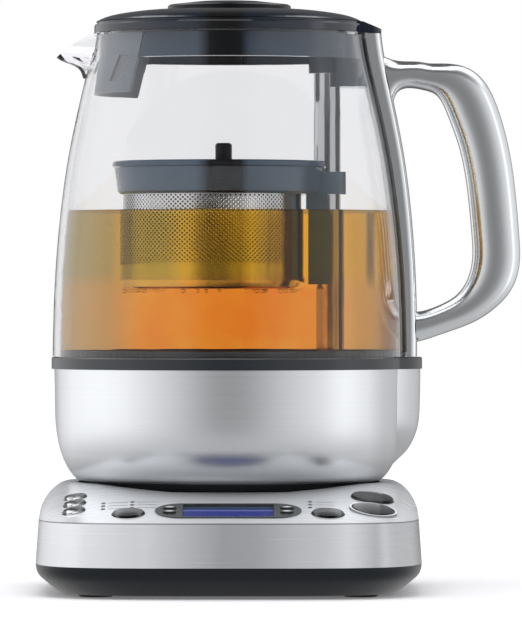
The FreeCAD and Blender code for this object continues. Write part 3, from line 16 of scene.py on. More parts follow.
import bpy
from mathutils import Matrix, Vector


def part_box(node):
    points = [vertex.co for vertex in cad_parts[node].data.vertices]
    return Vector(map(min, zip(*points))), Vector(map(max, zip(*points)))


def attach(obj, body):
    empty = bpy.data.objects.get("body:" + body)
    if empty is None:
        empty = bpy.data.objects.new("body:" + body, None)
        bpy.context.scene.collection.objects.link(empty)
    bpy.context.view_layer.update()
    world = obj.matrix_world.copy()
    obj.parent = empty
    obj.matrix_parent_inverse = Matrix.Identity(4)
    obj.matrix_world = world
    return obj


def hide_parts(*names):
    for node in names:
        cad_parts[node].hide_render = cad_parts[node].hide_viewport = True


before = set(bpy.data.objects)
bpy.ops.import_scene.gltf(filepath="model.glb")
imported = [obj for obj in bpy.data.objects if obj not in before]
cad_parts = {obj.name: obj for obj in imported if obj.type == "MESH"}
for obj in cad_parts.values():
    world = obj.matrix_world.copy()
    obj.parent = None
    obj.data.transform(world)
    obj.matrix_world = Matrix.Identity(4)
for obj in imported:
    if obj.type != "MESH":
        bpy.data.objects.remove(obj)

log = logging.getLogger("tea_maker")
Socket = bpy.types.NodeSocket
Node = bpy.types.Node
Piece = bpy.types.Object
Material = bpy.types.Material
Colour = tuple[float, float, float]
Place = tuple[float, float, float]
Pair = tuple[float, float]
Levels = tuple[Pair, ...]
Tones = tuple[tuple[float, Colour], ...]
# Painted reflection: a dark strip in the middle of the front, where the gap in front of the object is
# reflected, laid into the colour of glossy dark mouldings.
PAINTED_GAP_REFLECTION: Levels = ((-0.030, 1.0), (-0.014, 1.0), (-0.008, 0.05), (0.005, 0.05), (0.009, 0.8), (0.030, 1.0))
PANEL_NORMAL = Vector((0.0, -0.2297, 0.9733))
STANDING: Place = (math.pi / 2, 0.0, 0.0)
UNSCALED: Place = (1.0, 1.0, 1.0)
WHITE: Colour = (1.0, 1.0, 1.0)
BLACK: Colour = (0.0, 0.0, 0.0)
nodes: dict[str, Piece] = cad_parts


# ---------------------------------------------------------------- finishes


class Grain(Enum):
    """How the fine pattern of a finish runs: its frequency along X, Y and Z, per metre."""

    EVEN = (900.0, 900.0, 900.0)
    FINE = (2500.0, 2500.0, 2500.0)
    COARSE = (120.0, 120.0, 120.0)
    LEVEL = (7.0, 7.0, 1500.0)
    UPRIGHT = (1400.0, 1400.0, 9.0)
    ACROSS = (9.0, 1500.0, 9.0)
    POLISHED = (45.0, 45.0, 20.0)


class Tree:
    """A node tree, with short calls that add and join its nodes."""

    def __init__(self, tree: bpy.types.NodeTree) -> None:
        """Empties the tree.

        Args:
            tree: The tree of a material or a world.
        """
        self.tree = tree
        self.tree.nodes.clear()

    def add(self, kind: str, **settings: object) -> Node:
        """Adds a node.

        Args:
            kind: Blender's name of the node type.
            **settings: The node's own settings.

        Returns:
            The new node.
        """
        node = self.tree.nodes.new(kind)
        for name, value in settings.items():
            setattr(node, name, value)
        return node

    def join(self, source: Socket, target: Socket) -> None:
        """Links an output to an input."""
        self.tree.links.new(source, target)

    def feed(self, socket: Socket, value: object) -> None:
        """Gives an input a number, a colour or another node's output."""
        if isinstance(value, Socket):
            self.join(value, socket)
        elif isinstance(value, tuple) and len(value) == 3:
            socket.default_value = (*value, 1.0)
        else:
            socket.default_value = value

    def maths(self, operation: str, *inputs: object) -> Socket:
        """Adds a Math node.

        Args:
            operation: The Math operation.
            *inputs: Numbers or sockets, in the order of the node's inputs.

        Returns:
            The node's result.
        """
        node = self.add("ShaderNodeMath", operation=operation)
        for socket, value in zip(node.inputs, inputs):
            self.feed(socket, value)
        return node.outputs[0]

    def vector(self, operation: str, *inputs: object) -> Node:
        """Adds a Vector Math node.

        Args:
            operation: The Vector Math operation.
            *inputs: Vectors or sockets, in the order of the node's inputs.

        Returns:
            The node.
        """
        node = self.add("ShaderNodeVectorMath", operation=operation)
        for socket, value in zip(node.inputs, inputs):
            if isinstance(value, tuple):
                socket.default_value = value
            else:
                self.join(value, socket)
        return node

    def part(self, vector: Socket, letter: str) -> Socket:
        """Gives the X, Y or Z of a vector."""
        split = self.add("ShaderNodeSeparateXYZ")
        self.join(vector, split.inputs[0])
        return split.outputs[letter]

    def blend(self, share: object, first: Node, second: Node) -> Node:
        """Blends two shaders.

        Args:
            share: How much of the second, from 0 to 1.
            first: The shader at 0.
            second: The shader at 1.

        Returns:
            The blended shader.
        """
        node = self.add("ShaderNodeMixShader")
        self.feed(node.inputs[0], share)
        self.join(first.outputs[0], node.inputs[1])
        self.join(second.outputs[0], node.inputs[2])
        return node

    def shine(self, kind: str, strength: object, colour: Colour = WHITE) -> Node:
        """Adds a shader that gives light.

        Args:
            kind: Emission or Background.
            strength: How strong it is.
            colour: Its colour.

        Returns:
            The shader.
        """
        node = self.add("ShaderNode" + kind)
        self.feed(node.inputs["Color"], colour)
        self.feed(node.inputs["Strength"], strength)
        return node

    def spread(self, value: Socket, start: float, end: float, low: float = 0.3, high: float = 0.7) -> Socket:
        """Maps a pattern to a range.

        Args:
            value: The pattern.
            start: The result at low.
            end: The result at high.
            low: The pattern's value at the start.
            high: The pattern's value at the end.

        Returns:
            The mapped value, clamped to the range.
        """
        node = self.add("ShaderNodeMapRange")
        self.join(value, node.inputs["Value"])
        for socket, number in (("From Min", low), ("From Max", high), ("To Min", start), ("To Max", end)):
            node.inputs[socket].default_value = number
        return node.outputs[0]

    def ramp(self, value: Socket, stops: Tones) -> Socket:
        """Adds a colour ramp.

        Args:
            value: What the ramp reads.
            stops: Positions from 0 to 1 with their colours.

        Returns:
            The ramp's colour.
        """
        node = self.add("ShaderNodeValToRGB")
        self.join(value, node.inputs[0])
        elements = node.color_ramp.elements
        while len(elements) < len(stops):
            elements.new(0.5)
        for element, (position, colour) in zip(elements, stops):
            element.position = position
            element.color = (*colour, 1.0)
        return node.outputs[0]

    def mix(self, share: object, first: object, second: object) -> Socket:
        """Blends two numbers.

        Args:
            share: How much of the second, from 0 to 1.
            first: The result at 0.
            second: The result at 1.

        Returns:
            The blended number.
        """
        node = self.add("ShaderNodeMix", data_type="FLOAT")
        for socket, value in zip(node.inputs[:1] + node.inputs[2:4], (share, first, second)):
            self.feed(socket, value)
        return node.outputs[0]

    def tint(self, share: object, first: object, second: object, blend: str = "MIX") -> Socket:
        """Blends two colours.

        Args:
            share: How much of the second, from 0 to 1.
            first: The first colour.
            second: The second colour.
            blend: The way the second is laid on the first.

        Returns:
            The blended colour.
        """
        node = self.add("ShaderNodeMix", data_type="RGBA", blend_type=blend)
        for socket, value in zip((node.inputs[0], node.inputs[6], node.inputs[7]), (share, first, second)):
            self.feed(socket, value)
        return node.outputs[2]


class Sheet(Tree):
    """The node tree of one material."""

    def __init__(self, name: str) -> None:
        """Starts a new material with an empty tree.

        Args:
            name: The material's name.
        """
        self.material = bpy.data.materials.new(name)
        self.material.use_nodes = True
        super().__init__(self.material.node_tree)
        self.output = self.add("ShaderNodeOutputMaterial")
        self.place = self.add("ShaderNodeTexCoord").outputs["Object"]

    def axis(self, letter: str) -> Socket:
        """Gives the X, Y or Z of the place on the piece."""
        return self.part(self.place, letter)

    def upward(self) -> Socket:
        """Gives how far the surface faces up, from -1 to 1."""
        return self.part(self.add("ShaderNodeNewGeometry").outputs["Normal"], "Z")

    def facing(self, x: float, y: float) -> Socket:
        """Gives 1 where the surface faces the upright axis at X and Y, and 0 on the other side."""
        away = self.vector("SUBTRACT", self.place, (x, y, 0.0)).outputs[0]
        normal = self.add("ShaderNodeNewGeometry").outputs["Normal"]
        return self.maths("LESS_THAN", self.vector("DOT_PRODUCT", away, normal).outputs["Value"], 0.0)

    def noise(self, scale: Place, detail: float = 3.0) -> Socket:
        """Adds a noise pattern.

        Args:
            scale: Its frequency along X, Y and Z, per metre.
            detail: Its number of finer layers.

        Returns:
            The pattern's value, from 0 to 1.
        """
        mapping = self.add("ShaderNodeMapping")
        mapping.inputs["Scale"].default_value = scale
        self.join(self.place, mapping.inputs["Vector"])
        pattern = self.add("ShaderNodeTexNoise")
        pattern.inputs["Scale"].default_value = 1.0
        pattern.inputs["Detail"].default_value = detail
        self.join(mapping.outputs[0], pattern.inputs["Vector"])
        return pattern.outputs[0]

    def bump(self, value: Socket, depth: float, strength: float = 1.0) -> Socket:
        """Turns a pattern into relief.

        Args:
            value: The pattern.
            depth: The height of its full range, in metres.
            strength: How strongly it shows, from 0 to 1.

        Returns:
            The changed normal.
        """
        node = self.add("ShaderNodeBump")
        node.inputs["Strength"].default_value = strength
        node.inputs["Distance"].default_value = depth
        self.join(value, node.inputs["Height"])
        return node.outputs[0]

    def surface(self, **values: object) -> Node:
        """Adds the Principled shader.

        Args:
            **values: Its sockets, with underscores for the spaces of their names.

        Returns:
            The shader node.
        """
        shader = self.add("ShaderNodeBsdfPrincipled")
        for name, value in values.items():
            self.feed(shader.inputs[name.replace("_", " ")], value)
        return shader

    def deepen(self, colour: Colour, density: float) -> None:
        """Makes the material darker with its thickness.

        Args:
            colour: What a long way through it leaves of the light.
            density: How quickly that happens, per metre.
        """
        depth = self.add("ShaderNodeVolumeAbsorption")
        depth.inputs["Color"].default_value = (*colour, 1.0)
        depth.inputs["Density"].default_value = density
        self.join(depth.outputs[0], self.output.inputs["Volume"])

    def profile(self, letter: str, levels: Levels) -> Socket:
        """Gives a grey level that changes along one axis.

        Args:
            letter: The axis.
            levels: Places along it, in metres, with the level at each.

        Returns:
            The level.
        """
        first, last = levels[0][0], levels[-1][0]
        share = self.spread(self.axis(letter), 0.0, 1.0, first, last)
        return self.ramp(share, [((place - first) / (last - first), (level,) * 3) for place, level in levels])

    def dimmed(self, tone: Socket, share: Socket) -> Socket:
        """Gives a colour times another one."""
        return self.tint(1.0, tone, share, "MULTIPLY")

    def varied(self, pattern: Socket, colour: Colour, contrast: float) -> Socket:
        """Gives a colour that gets darker and lighter with a pattern.

        Args:
            pattern: The pattern.
            colour: The colour in its middle.
            contrast: How far it goes to either side.

        Returns:
            The varied colour.
        """
        ends = [(0.0, shaded(colour, 1.0 - contrast)), (1.0, shaded(colour, 1.0 + contrast))]
        return self.ramp(self.spread(pattern, 0.0, 1.0), ends)

    def finish(self, shader: Node) -> Material:
        """Gives the shader to the output and returns the material."""
        self.join(shader.outputs[0], self.output.inputs["Surface"])
        return self.material


def upper_face(node: str, depth: float = 0.0012) -> tuple[Vector, Vector]:
    """Measures the upper face of a button on the sloping panel.

    Args:
        node: The button's name.
        depth: How far below its highest point the face reaches.

    Returns:
        The face's centre and half of its size.
    """
    points = [vertex.co for vertex in nodes[node].data.vertices]
    top = max(point.dot(PANEL_NORMAL) for point in points)
    face = [point for point in points if point.dot(PANEL_NORMAL) > top - depth]
    low = Vector(min(point[i] for point in face) for i in range(3))
    high = Vector(max(point[i] for point in face) for i in range(3))
    return (low + high) / 2, (high - low) / 2


def shaded(colour: Colour, share: float) -> Colour:
    """Gives a colour times a share, kept at most 1."""
    return tuple(min(1.0, part * share) for part in colour)


def around(value: float, share: float) -> Pair:
    """Gives a value less and more a share of itself."""
    return value * (1.0 - share), value * (1.0 + share)


class Finish(Protocol):
    """What can be put on construction parts."""

    def material(self) -> Material:
        """Builds the material."""


@dataclass(frozen=True)
class Metal:
    """A brushed, turned or polished metal."""

    name: str
    colour: Colour
    roughness: float
    grain: Grain = Grain.EVEN
    contrast: float = 0.03
    relief: float = 0.0000006
    top_grain: bool = False
    stretch: float = 0.0
    crease: float = 0.0
    metallic: float = 1.0
    # Painted shade along Z, multiplied into the colour.
    upward: Levels = ()
    # Painted reflections and painted shade along X, multiplied into the colour.
    painted_light_along_x: Levels = ()
    # Painted shade: X and Y of an upright axis; the side that faces it is darkened.
    painted_shade_axis: Pair = ()
    painted_shade_share: float = 0.10
    facing_up: Pair = (0.55, 0.8)
    # Painted shade along the crease: its reach, its strength and its colour.
    crease_shade_reach: Pair = (0.00012, 0.00040)
    crease_shade_share: float = 0.75
    painted_crease_shade: Colour = (0.05, 0.055, 0.065)
    gloss_range: float = 0.06

    def material(self) -> Material:
        """Builds the material: grain lines in colour, roughness and relief, with painted shade and painted
        reflections laid into the colour where they are given.
        """
        sheet = Sheet(self.name)
        lines = sheet.noise(self.grain.value)
        if self.top_grain:
            level = sheet.noise(Grain.ACROSS.value)
            facing_up = sheet.spread(sheet.maths("ABSOLUTE", sheet.upward()), 0.0, 1.0, *self.facing_up)
            lines = sheet.mix(facing_up, lines, level)
        tone = sheet.varied(lines, self.colour, self.contrast)
        # Painted shade along Z.
        if self.upward:
            tone = sheet.dimmed(tone, sheet.profile("Z", self.upward))
        # Painted reflections and painted shade along X; with a crease, only below it.
        if self.painted_light_along_x:
            share = sheet.profile("X", self.painted_light_along_x)
            if self.crease:
                above = sheet.maths("GREATER_THAN", sheet.axis("Z"), self.crease)
                share = sheet.tint(above, share, WHITE)
            tone = sheet.dimmed(tone, share)
        # Painted shade on the side that faces the axis, such as the inside of a cup.
        if self.painted_shade_axis:
            tone = sheet.tint(sheet.facing(*self.painted_shade_axis), tone, shaded(self.colour, self.painted_shade_share))
        # Painted shade: a dark line along the crease.
        if self.crease:
            away = sheet.maths("ABSOLUTE", sheet.maths("SUBTRACT", sheet.axis("Z"), self.crease))
            line = sheet.spread(away, self.crease_shade_share, 0.0, *self.crease_shade_reach)
            tone = sheet.tint(line, tone, self.painted_crease_shade)
        gloss = sheet.spread(lines, *around(self.roughness, self.gloss_range))
        shader = sheet.surface(
            Base_Color=tone, Metallic=self.metallic, Roughness=gloss, Normal=sheet.bump(lines, self.relief, 0.5)
        )
        if self.stretch:
            shader.inputs["Anisotropic"].default_value = self.stretch
            tangent = sheet.add("ShaderNodeTangent", direction_type="RADIAL", axis="Z")
            sheet.join(tangent.outputs[0], shader.inputs["Tangent"])
        return sheet.finish(shader)


@dataclass(frozen=True)
class PaintedLightCap:
    """The domed top of a button, with painted shade and painted highlights laid outwards from a point on it,
    and painted shadow at its ends.
    """

    name: str
    middle: Pair
    stops: Levels
    roughness: float = 0.3
    metallic: float = 1.0
    contrast: float = 0.12
    ends: float = 1.0
    warmth: Colour = (0.97, 0.985, 1.0)
    reach: float = 2.0
    # Painted shadow at the button's ends: where it starts, how dark it gets and its colour.
    end_width: float = 0.15
    end_share: float = 0.9
    painted_end_shadow: Colour = (0.004, 0.004, 0.006)
    relief: float = 0.0000005

    def material_for(self, node: str) -> Material:
        """Builds the material for one button.

        Args:
            node: The button's name.

        Returns:
            The material.
        """
        centre, half = upper_face(node)
        sheet = Sheet(f"{self.name}_{node}")
        places = [
            sheet.maths("DIVIDE", sheet.maths("SUBTRACT", sheet.axis(letter), centre[i]), half[i])
            for i, letter in enumerate("XY")
        ]
        place = sheet.add("ShaderNodeCombineXYZ")
        for socket, value, middle in zip(place.inputs, places, self.middle):
            sheet.join(sheet.maths("SUBTRACT", value, middle), socket)
        away = sheet.vector("LENGTH", place.outputs[0]).outputs["Value"]
        # Painted shade and painted highlights: from a dark middle out to a bright rim or glint.
        tone = sheet.ramp(
            sheet.spread(away, 0.0, 1.0, 0.0, self.reach),
            [(distance / self.reach, shaded(self.warmth, level)) for distance, level in self.stops],
        )
        # Painted shadow at both ends of the button, where it sits in its hole.
        beside = sheet.maths("ABSOLUTE", places[0])
        ends = sheet.spread(beside, 0.0, self.end_share, self.ends - self.end_width, self.ends)
        tone = sheet.tint(ends, tone, self.painted_end_shadow)
        grain = sheet.noise(Grain.FINE.value)
        flecks = sheet.ramp(grain, [(0.35, (1.0 - self.contrast,) * 3), (0.65, WHITE)])
        shader = sheet.surface(
            Base_Color=sheet.dimmed(tone, flecks),
            Metallic=self.metallic,
            Roughness=self.roughness,
            Normal=sheet.bump(grain, self.relief, 0.4),
        )
        return sheet.finish(shader)


@dataclass(frozen=True)
class Moulding:
    """A moulded plastic, silicone or rubber."""

    name: str
    colour: Colour
    roughness: float
    specular: float = 0.5
    grain: Grain = Grain.FINE
    contrast: float = 0.04
    relief: float = 0.0000002
    # Painted reflection along X, multiplied into the colour.
    painted_reflection_band: Levels = ()
    gloss_range: float = 0.1

    def material(self) -> Material:
        """Builds the material: a fine skin with slightly uneven gloss, with a painted reflection along X where
        one is given.
        """
        sheet = Sheet(self.name)
        skin = sheet.noise(self.grain.value, 2.0)
        tone = sheet.varied(skin, self.colour, self.contrast)
        # The painted reflection darkens the colour along X.
        if self.painted_reflection_band:
            tone = sheet.dimmed(tone, sheet.profile("X", self.painted_reflection_band))
        shader = sheet.surface(
            Base_Color=tone,
            Roughness=sheet.spread(skin, *around(self.roughness, self.gloss_range)),
            Specular_IOR_Level=self.specular,
            Normal=sheet.bump(skin, self.relief, 0.4),
        )
        return sheet.finish(shader)


@dataclass(frozen=True)
class Clear:
    """A clear or tinted see-through material that lets light pass to what is behind it."""

    name: str
    tint: Colour
    ior: float
    roughness: float = 0.0
    waviness: float = 0.0
    light_share: Colour = (0.92, 0.93, 0.94)
    reflection: Colour = WHITE
    absorbed: Colour = (0.0, 0.04, 0.10)
    density: float = 0.0

    def material(self) -> Material:
        """Builds the material: a refracting shader, with plain passage for light."""
        sheet = Sheet(self.name)
        ripple = sheet.noise(Grain.COARSE.value, 1.0)
        tone = sheet.ramp(ripple, [(0.0, shaded(self.tint, 0.985)), (1.0, self.tint)])
        shader = sheet.surface(
            Base_Color=tone,
            Roughness=self.roughness,
            IOR=self.ior,
            Transmission_Weight=1.0,
            Specular_Tint=self.reflection,
        )
        if self.waviness:
            sheet.join(sheet.bump(ripple, self.waviness, 0.6), shader.inputs["Normal"])
        if self.density:
            sheet.deepen(self.absorbed, self.density)
        return let_light_through(sheet, shader, self.light_share)


def let_light_through(sheet: Sheet, shader: Node, share: Colour) -> Material:
    """Finishes a see-through material so that lamps and sky reach what is inside it.

    Args:
        sheet: The material's tree.
        shader: Its refracting shader.
        share: How much of each colour the light keeps.

    Returns:
        The material.
    """
    passage = sheet.add("ShaderNodeBsdfTransparent")
    passage.inputs[0].default_value = (*share, 1.0)
    path = sheet.add("ShaderNodeLightPath")
    light = sheet.maths("MAXIMUM", path.outputs["Is Shadow Ray"], path.outputs["Is Diffuse Ray"])
    return sheet.finish(sheet.blend(light, shader, passage))


@dataclass(frozen=True)
class Brew:
    """The tea: an amber liquid that gets deeper with its thickness, cloudy below the basket, with painted
    reflections and painted dark streaks towards its sides.
    """

    name: str = "brew_amber"
    cloud_top: float = 0.134
    clear_from: float = 0.143
    surface_from: float = 0.1692
    surface_tone: Colour = (0.35, 0.30, 0.20)
    upper_tone: Colour = (0.92, 0.64, 0.035)
    absorbed: Colour = (0.98, 0.70, 0.35)
    density: float = 12.0
    ior: float = 1.03
    clouds: Place = (30.0, 30.0, 40.0)
    wisps: Place = (95.0, 95.0, 115.0)
    cloud_share: float = 0.72
    reach: float = 0.080
    light_share: Colour = (0.99, 0.90, 0.66)
    cloud_tones: Tones = ((0.38, (0.86, 0.37, 0.05)), (0.49, (0.89, 0.455, 0.075)), (0.62, (0.93, 0.60, 0.105)))
    middle: Tones = ((0.17, BLACK), (0.26, WHITE), (0.75, WHITE), (0.82, BLACK))
    # Painted reflections towards the sides of the tea below the basket: grey-beige on the left, golden and
    # olive on the right, with a painted dark streak.
    low_painted_reflections: Tones = (
        (0.0, (0.50, 0.41, 0.17)),
        (0.16, (0.60, 0.45, 0.20)),
        (0.80, (0.78, 0.53, 0.20)),
        (0.90, (0.55, 0.36, 0.09)),
        (0.94, (0.28, 0.15, 0.03)),
        (0.96, (0.28, 0.15, 0.03)),
        (0.975, (0.80, 0.52, 0.10)),
    )
    # Painted reflections towards the sides of the tea beside the basket: grey-beige on the left, golden and
    # olive on the right, with a painted dark streak.
    high_painted_reflections: Tones = (
        (0.0, (0.36, 0.36, 0.17)),
        (0.16, (0.45, 0.43, 0.20)),
        (0.80, (0.74, 0.54, 0.10)),
        (0.872, (0.62, 0.44, 0.08)),
        (0.882, (0.20, 0.15, 0.05)),
        (0.892, (0.20, 0.15, 0.05)),
        (0.902, (0.64, 0.44, 0.08)),
        (0.93, (0.40, 0.25, 0.05)),
        (0.96, (0.60, 0.42, 0.08)),
    )

    def material(self) -> Material:
        """Builds the material: refraction, absorption, soft clouds in the lower part and painted reflections
        towards the sides.
        """
        sheet = Sheet(self.name)
        large = sheet.maths("MULTIPLY", sheet.noise(self.clouds, 5.0), self.cloud_share)
        small = sheet.maths("MULTIPLY", sheet.noise(self.wisps, 4.0), 1.0 - self.cloud_share)
        cloudy = sheet.ramp(sheet.maths("ADD", large, small), self.cloud_tones)
        across = sheet.spread(sheet.axis("X"), 0.0, 1.0, -self.reach, self.reach)
        inside = sheet.ramp(across, self.middle)
        low_part = sheet.tint(inside, sheet.ramp(across, self.low_painted_reflections), cloudy)
        high_part = sheet.tint(inside, sheet.ramp(across, self.high_painted_reflections), self.upper_tone)
        height = sheet.spread(sheet.axis("Z"), 0.0, 1.0, self.cloud_top, self.clear_from)
        upright = sheet.spread(sheet.maths("ABSOLUTE", sheet.upward()), 1.0, 0.0, 0.4, 0.6)
        line = sheet.maths("GREATER_THAN", sheet.axis("Z"), self.surface_from)
        edge = sheet.maths("MULTIPLY", line, upright)
        shader = sheet.surface(
            Base_Color=sheet.tint(edge, sheet.tint(height, low_part, high_part), self.surface_tone),
            Roughness=0.0,
            IOR=self.ior,
            Transmission_Weight=1.0,
            Specular_Tint=(0.25, 0.25, 0.25),
        )
        sheet.deepen(self.absorbed, self.density)
        return let_light_through(sheet, shader, self.light_share)


@dataclass(frozen=True)
class Glow:
    """A light guide that shines a little on its top."""

    name: str
    colour: Colour
    strength: float
    side: Colour = (0.25, 0.25, 0.26)
    facing_up: Pair = (0.55, 0.85)

    def material(self) -> Material:
        """Builds the material: a milky plastic with its own light, duller on its sides."""
        sheet = Sheet(self.name)
        skin = sheet.noise(Grain.EVEN.value, 2.0)
        tone = sheet.ramp(skin, [(0.3, shaded(self.colour, 0.92)), (0.7, self.colour)])
        top = sheet.spread(sheet.upward(), 0.0, 1.0, *self.facing_up)
        shader = sheet.surface(
            Base_Color=sheet.tint(top, self.side, tone),
            Roughness=0.35,
            Emission_Color=tone,
            Emission_Strength=sheet.maths("MULTIPLY", top, self.strength),
        )
        return sheet.finish(shader)


@dataclass(frozen=True)
class Screen:
    """The lit liquid crystal screen: its blue from front to back, with a painted highlight line and painted
    reflections across it.
    """

    name: str
    front: float
    back: float
    dot_scale: Place = (2600.0, 2600.0, 1.0)
    dots_share: float = 0.25
    glow: float = 0.04
    # The screen's own blue from front to back, with a painted highlight line at 0.70 and painted reflections
    # towards the back edge.
    blue_and_painted_highlights: Tones = (
        (0.00, (0.006, 0.012, 0.045)),
        (0.10, (0.008, 0.020, 0.080)),
        (0.20, (0.030, 0.048, 0.330)),
        (0.42, (0.016, 0.030, 0.260)),
        (0.60, (0.022, 0.038, 0.300)),
        (0.70, (0.170, 0.210, 0.560)),
        (0.78, (0.010, 0.020, 0.100)),
        (0.90, (0.060, 0.100, 0.180)),
        (1.00, (0.090, 0.130, 0.180)),
    )

    def material(self) -> Material:
        """Builds the material: the blue with its painted highlights across the screen's length, and its faint
        dot grid.
        """
        sheet = Sheet(self.name)
        blue_and_painted_highlights = sheet.ramp(sheet.spread(sheet.axis("Y"), 0.0, 1.0, self.front, self.back), self.blue_and_painted_highlights)
        dots = sheet.ramp(sheet.noise(self.dot_scale, 0.0), [(0.3, (0.6, 0.6, 0.6)), (0.7, WHITE)])
        tone = sheet.tint(self.dots_share, blue_and_painted_highlights, dots, "MULTIPLY")
        shader = sheet.surface(
            Base_Color=tone,
            Roughness=0.25,
            Specular_IOR_Level=0.1,
            Emission_Color=tone,
            Emission_Strength=self.glow,
        )
        return sheet.finish(shader)


@dataclass(frozen=True)
class Board:
    """A circuit board with copper tracks under green lacquer."""

    name: str
    lacquer: Colour
    track: Colour
    cells_per_metre: float = 240.0

    def material(self) -> Material:
        """Builds the material: a cell pattern for the tracks."""
        sheet = Sheet(self.name)
        cells = sheet.add("ShaderNodeTexVoronoi", feature="DISTANCE_TO_EDGE")
        cells.inputs["Scale"].default_value = self.cells_per_metre
        sheet.join(sheet.place, cells.inputs["Vector"])
        tone = sheet.ramp(cells.outputs[0], [(0.05, self.track), (0.09, self.lacquer)])
        return sheet.finish(sheet.surface(Base_Color=tone, Roughness=0.4))


@dataclass(frozen=True)
class Mesh:
    """A woven steel mesh, open between its wires."""

    name: str
    colour: Colour
    pitch: float
    wire: float

    def material(self) -> Material:
        """Builds the material: steel wires on both slants, and nothing between them."""
        sheet = Sheet(self.name)
        shares = []
        for operation in ("ADD", "SUBTRACT"):
            slant = sheet.maths(operation, sheet.axis("Y"), sheet.axis("Z"))
            turns = sheet.maths("FRACT", sheet.maths("MULTIPLY", slant, 1.0 / self.pitch))
            shares.append(sheet.maths("LESS_THAN", turns, self.wire))
        wires = sheet.maths("MAXIMUM", *shares)
        tone = sheet.ramp(wires, ((0.0, shaded(self.colour, 0.8)), (1.0, self.colour)))
        metal = sheet.surface(Base_Color=tone, Metallic=1.0, Roughness=0.35)
        return sheet.finish(sheet.blend(wires, sheet.add("ShaderNodeBsdfTransparent"), metal))


# ---------------------------------------------------------------- modelling helpers


def edit(piece: Piece) -> None:
    """Makes a piece the only selected one and opens it in edit mode."""
    only(piece)
    bpy.ops.object.mode_set(mode="EDIT")


def leave() -> None:
    """Goes back to object mode."""
    bpy.ops.object.mode_set(mode="OBJECT")


def only(*pieces: Piece) -> None:
    """Selects these pieces and nothing else, the first of them active."""
    bpy.ops.object.select_all(action="DESELECT")
    for piece in pieces:
        piece.select_set(True)
    bpy.context.view_layer.objects.active = pieces[0]


def settle(piece: Piece) -> None:
    """Puts a piece's place, turn and size into its mesh."""
    only(piece)
    bpy.ops.object.transform_apply(location=True, rotation=True, scale=True)


def apply(piece: Piece, kind: str, **settings: object) -> None:
    """Adds a modifier to a piece and applies it.

    Args:
        piece: The piece.
        kind: Blender's name of the modifier type.
        **settings: The modifier's settings.
    """
    only(piece)
    modifier = piece.modifiers.new(kind.lower(), kind)
    for name, value in settings.items():
        setattr(modifier, name, value)
    bpy.ops.object.modifier_apply(modifier=modifier.name)


def fresh(add: Callable[..., set[str]], scale: Place = UNSCALED, **settings: object) -> Piece:
    """Adds a mesh shape, with nothing else selected.

    Args:
        add: The operator that adds it.
        scale: Its size along its own axes.
        **settings: The operator's settings.

    Returns:
        The new piece, with its place, turn and size in its mesh.
    """
    bpy.ops.object.select_all(action="DESELECT")
    add(**settings)
    piece = bpy.context.object
    piece.scale = scale
    settle(piece)
    return piece


def array(piece: Piece, count: int, offset: Place) -> None:
    """Repeats a piece in a row, each copy moved on by the offset."""
    apply(
        piece,
        "ARRAY",
        count=count,
        use_relative_offset=False,
        use_constant_offset=True,
        constant_offset_displace=offset,
    )


def work(piece: Piece, operator: Callable[..., set[str]], **settings: object) -> None:
    """Runs one edit mode operator on all of a piece.

    Args:
        piece: The piece.
        operator: The operator.
        **settings: The operator's settings.
    """
    edit(piece)
    bpy.ops.mesh.select_all(action="SELECT")
    operator(**settings)
    leave()


def joined(name: str, pieces: list[Piece]) -> Piece:
    """Joins pieces into one of the given name and returns it."""
    only(*pieces)
    if len(pieces) > 1:
        bpy.ops.object.join()
    piece = bpy.context.view_layer.objects.active
    piece.name = name
    piece.data.name = name
    return piece


def smooth(piece: Piece, angle: float = 35.0) -> None:
    """Shades a piece smooth, with edges sharper than the angle in degrees kept."""
    only(piece)
    bpy.ops.object.shade_smooth_by_angle(angle=math.radians(angle))


def paint(piece: Piece, material: Material) -> None:
    """Gives all of a piece one material."""
    piece.data.materials.clear()
    piece.data.materials.append(material)


def cap(finish: PaintedLightCap, *names: str) -> None:
    """Gives each button a finish that is fitted to its own place."""
    for name in names:
        give(finish.material_for(name), name)


def give(material: Material, name: str) -> None:
    """Puts a material in all slots of a construction part."""
    mesh = nodes[name].data
    if not mesh.materials:
        mesh.materials.append(material)
    for slot in range(len(mesh.materials)):
        mesh.materials[slot] = material


def dress(finish: Finish, *names: str) -> None:
    """Gives a finish to construction parts.

    Args:
        finish: The finish.
        *names: The parts' names.
    """
    material = finish.material()
    for name in names:
        give(material, name)


# ---------------------------------------------------------------- sub-assemblies


class Assembly:
    """Construction parts that are dressed together: each finish with the parts it goes to."""

    finishes: tuple[tuple[Finish, tuple[str, ...]], ...] = ()

    def dress(self) -> None:
        """Gives the parts their finishes."""
        for finish, names in self.finishes:
            dress(finish, *names)


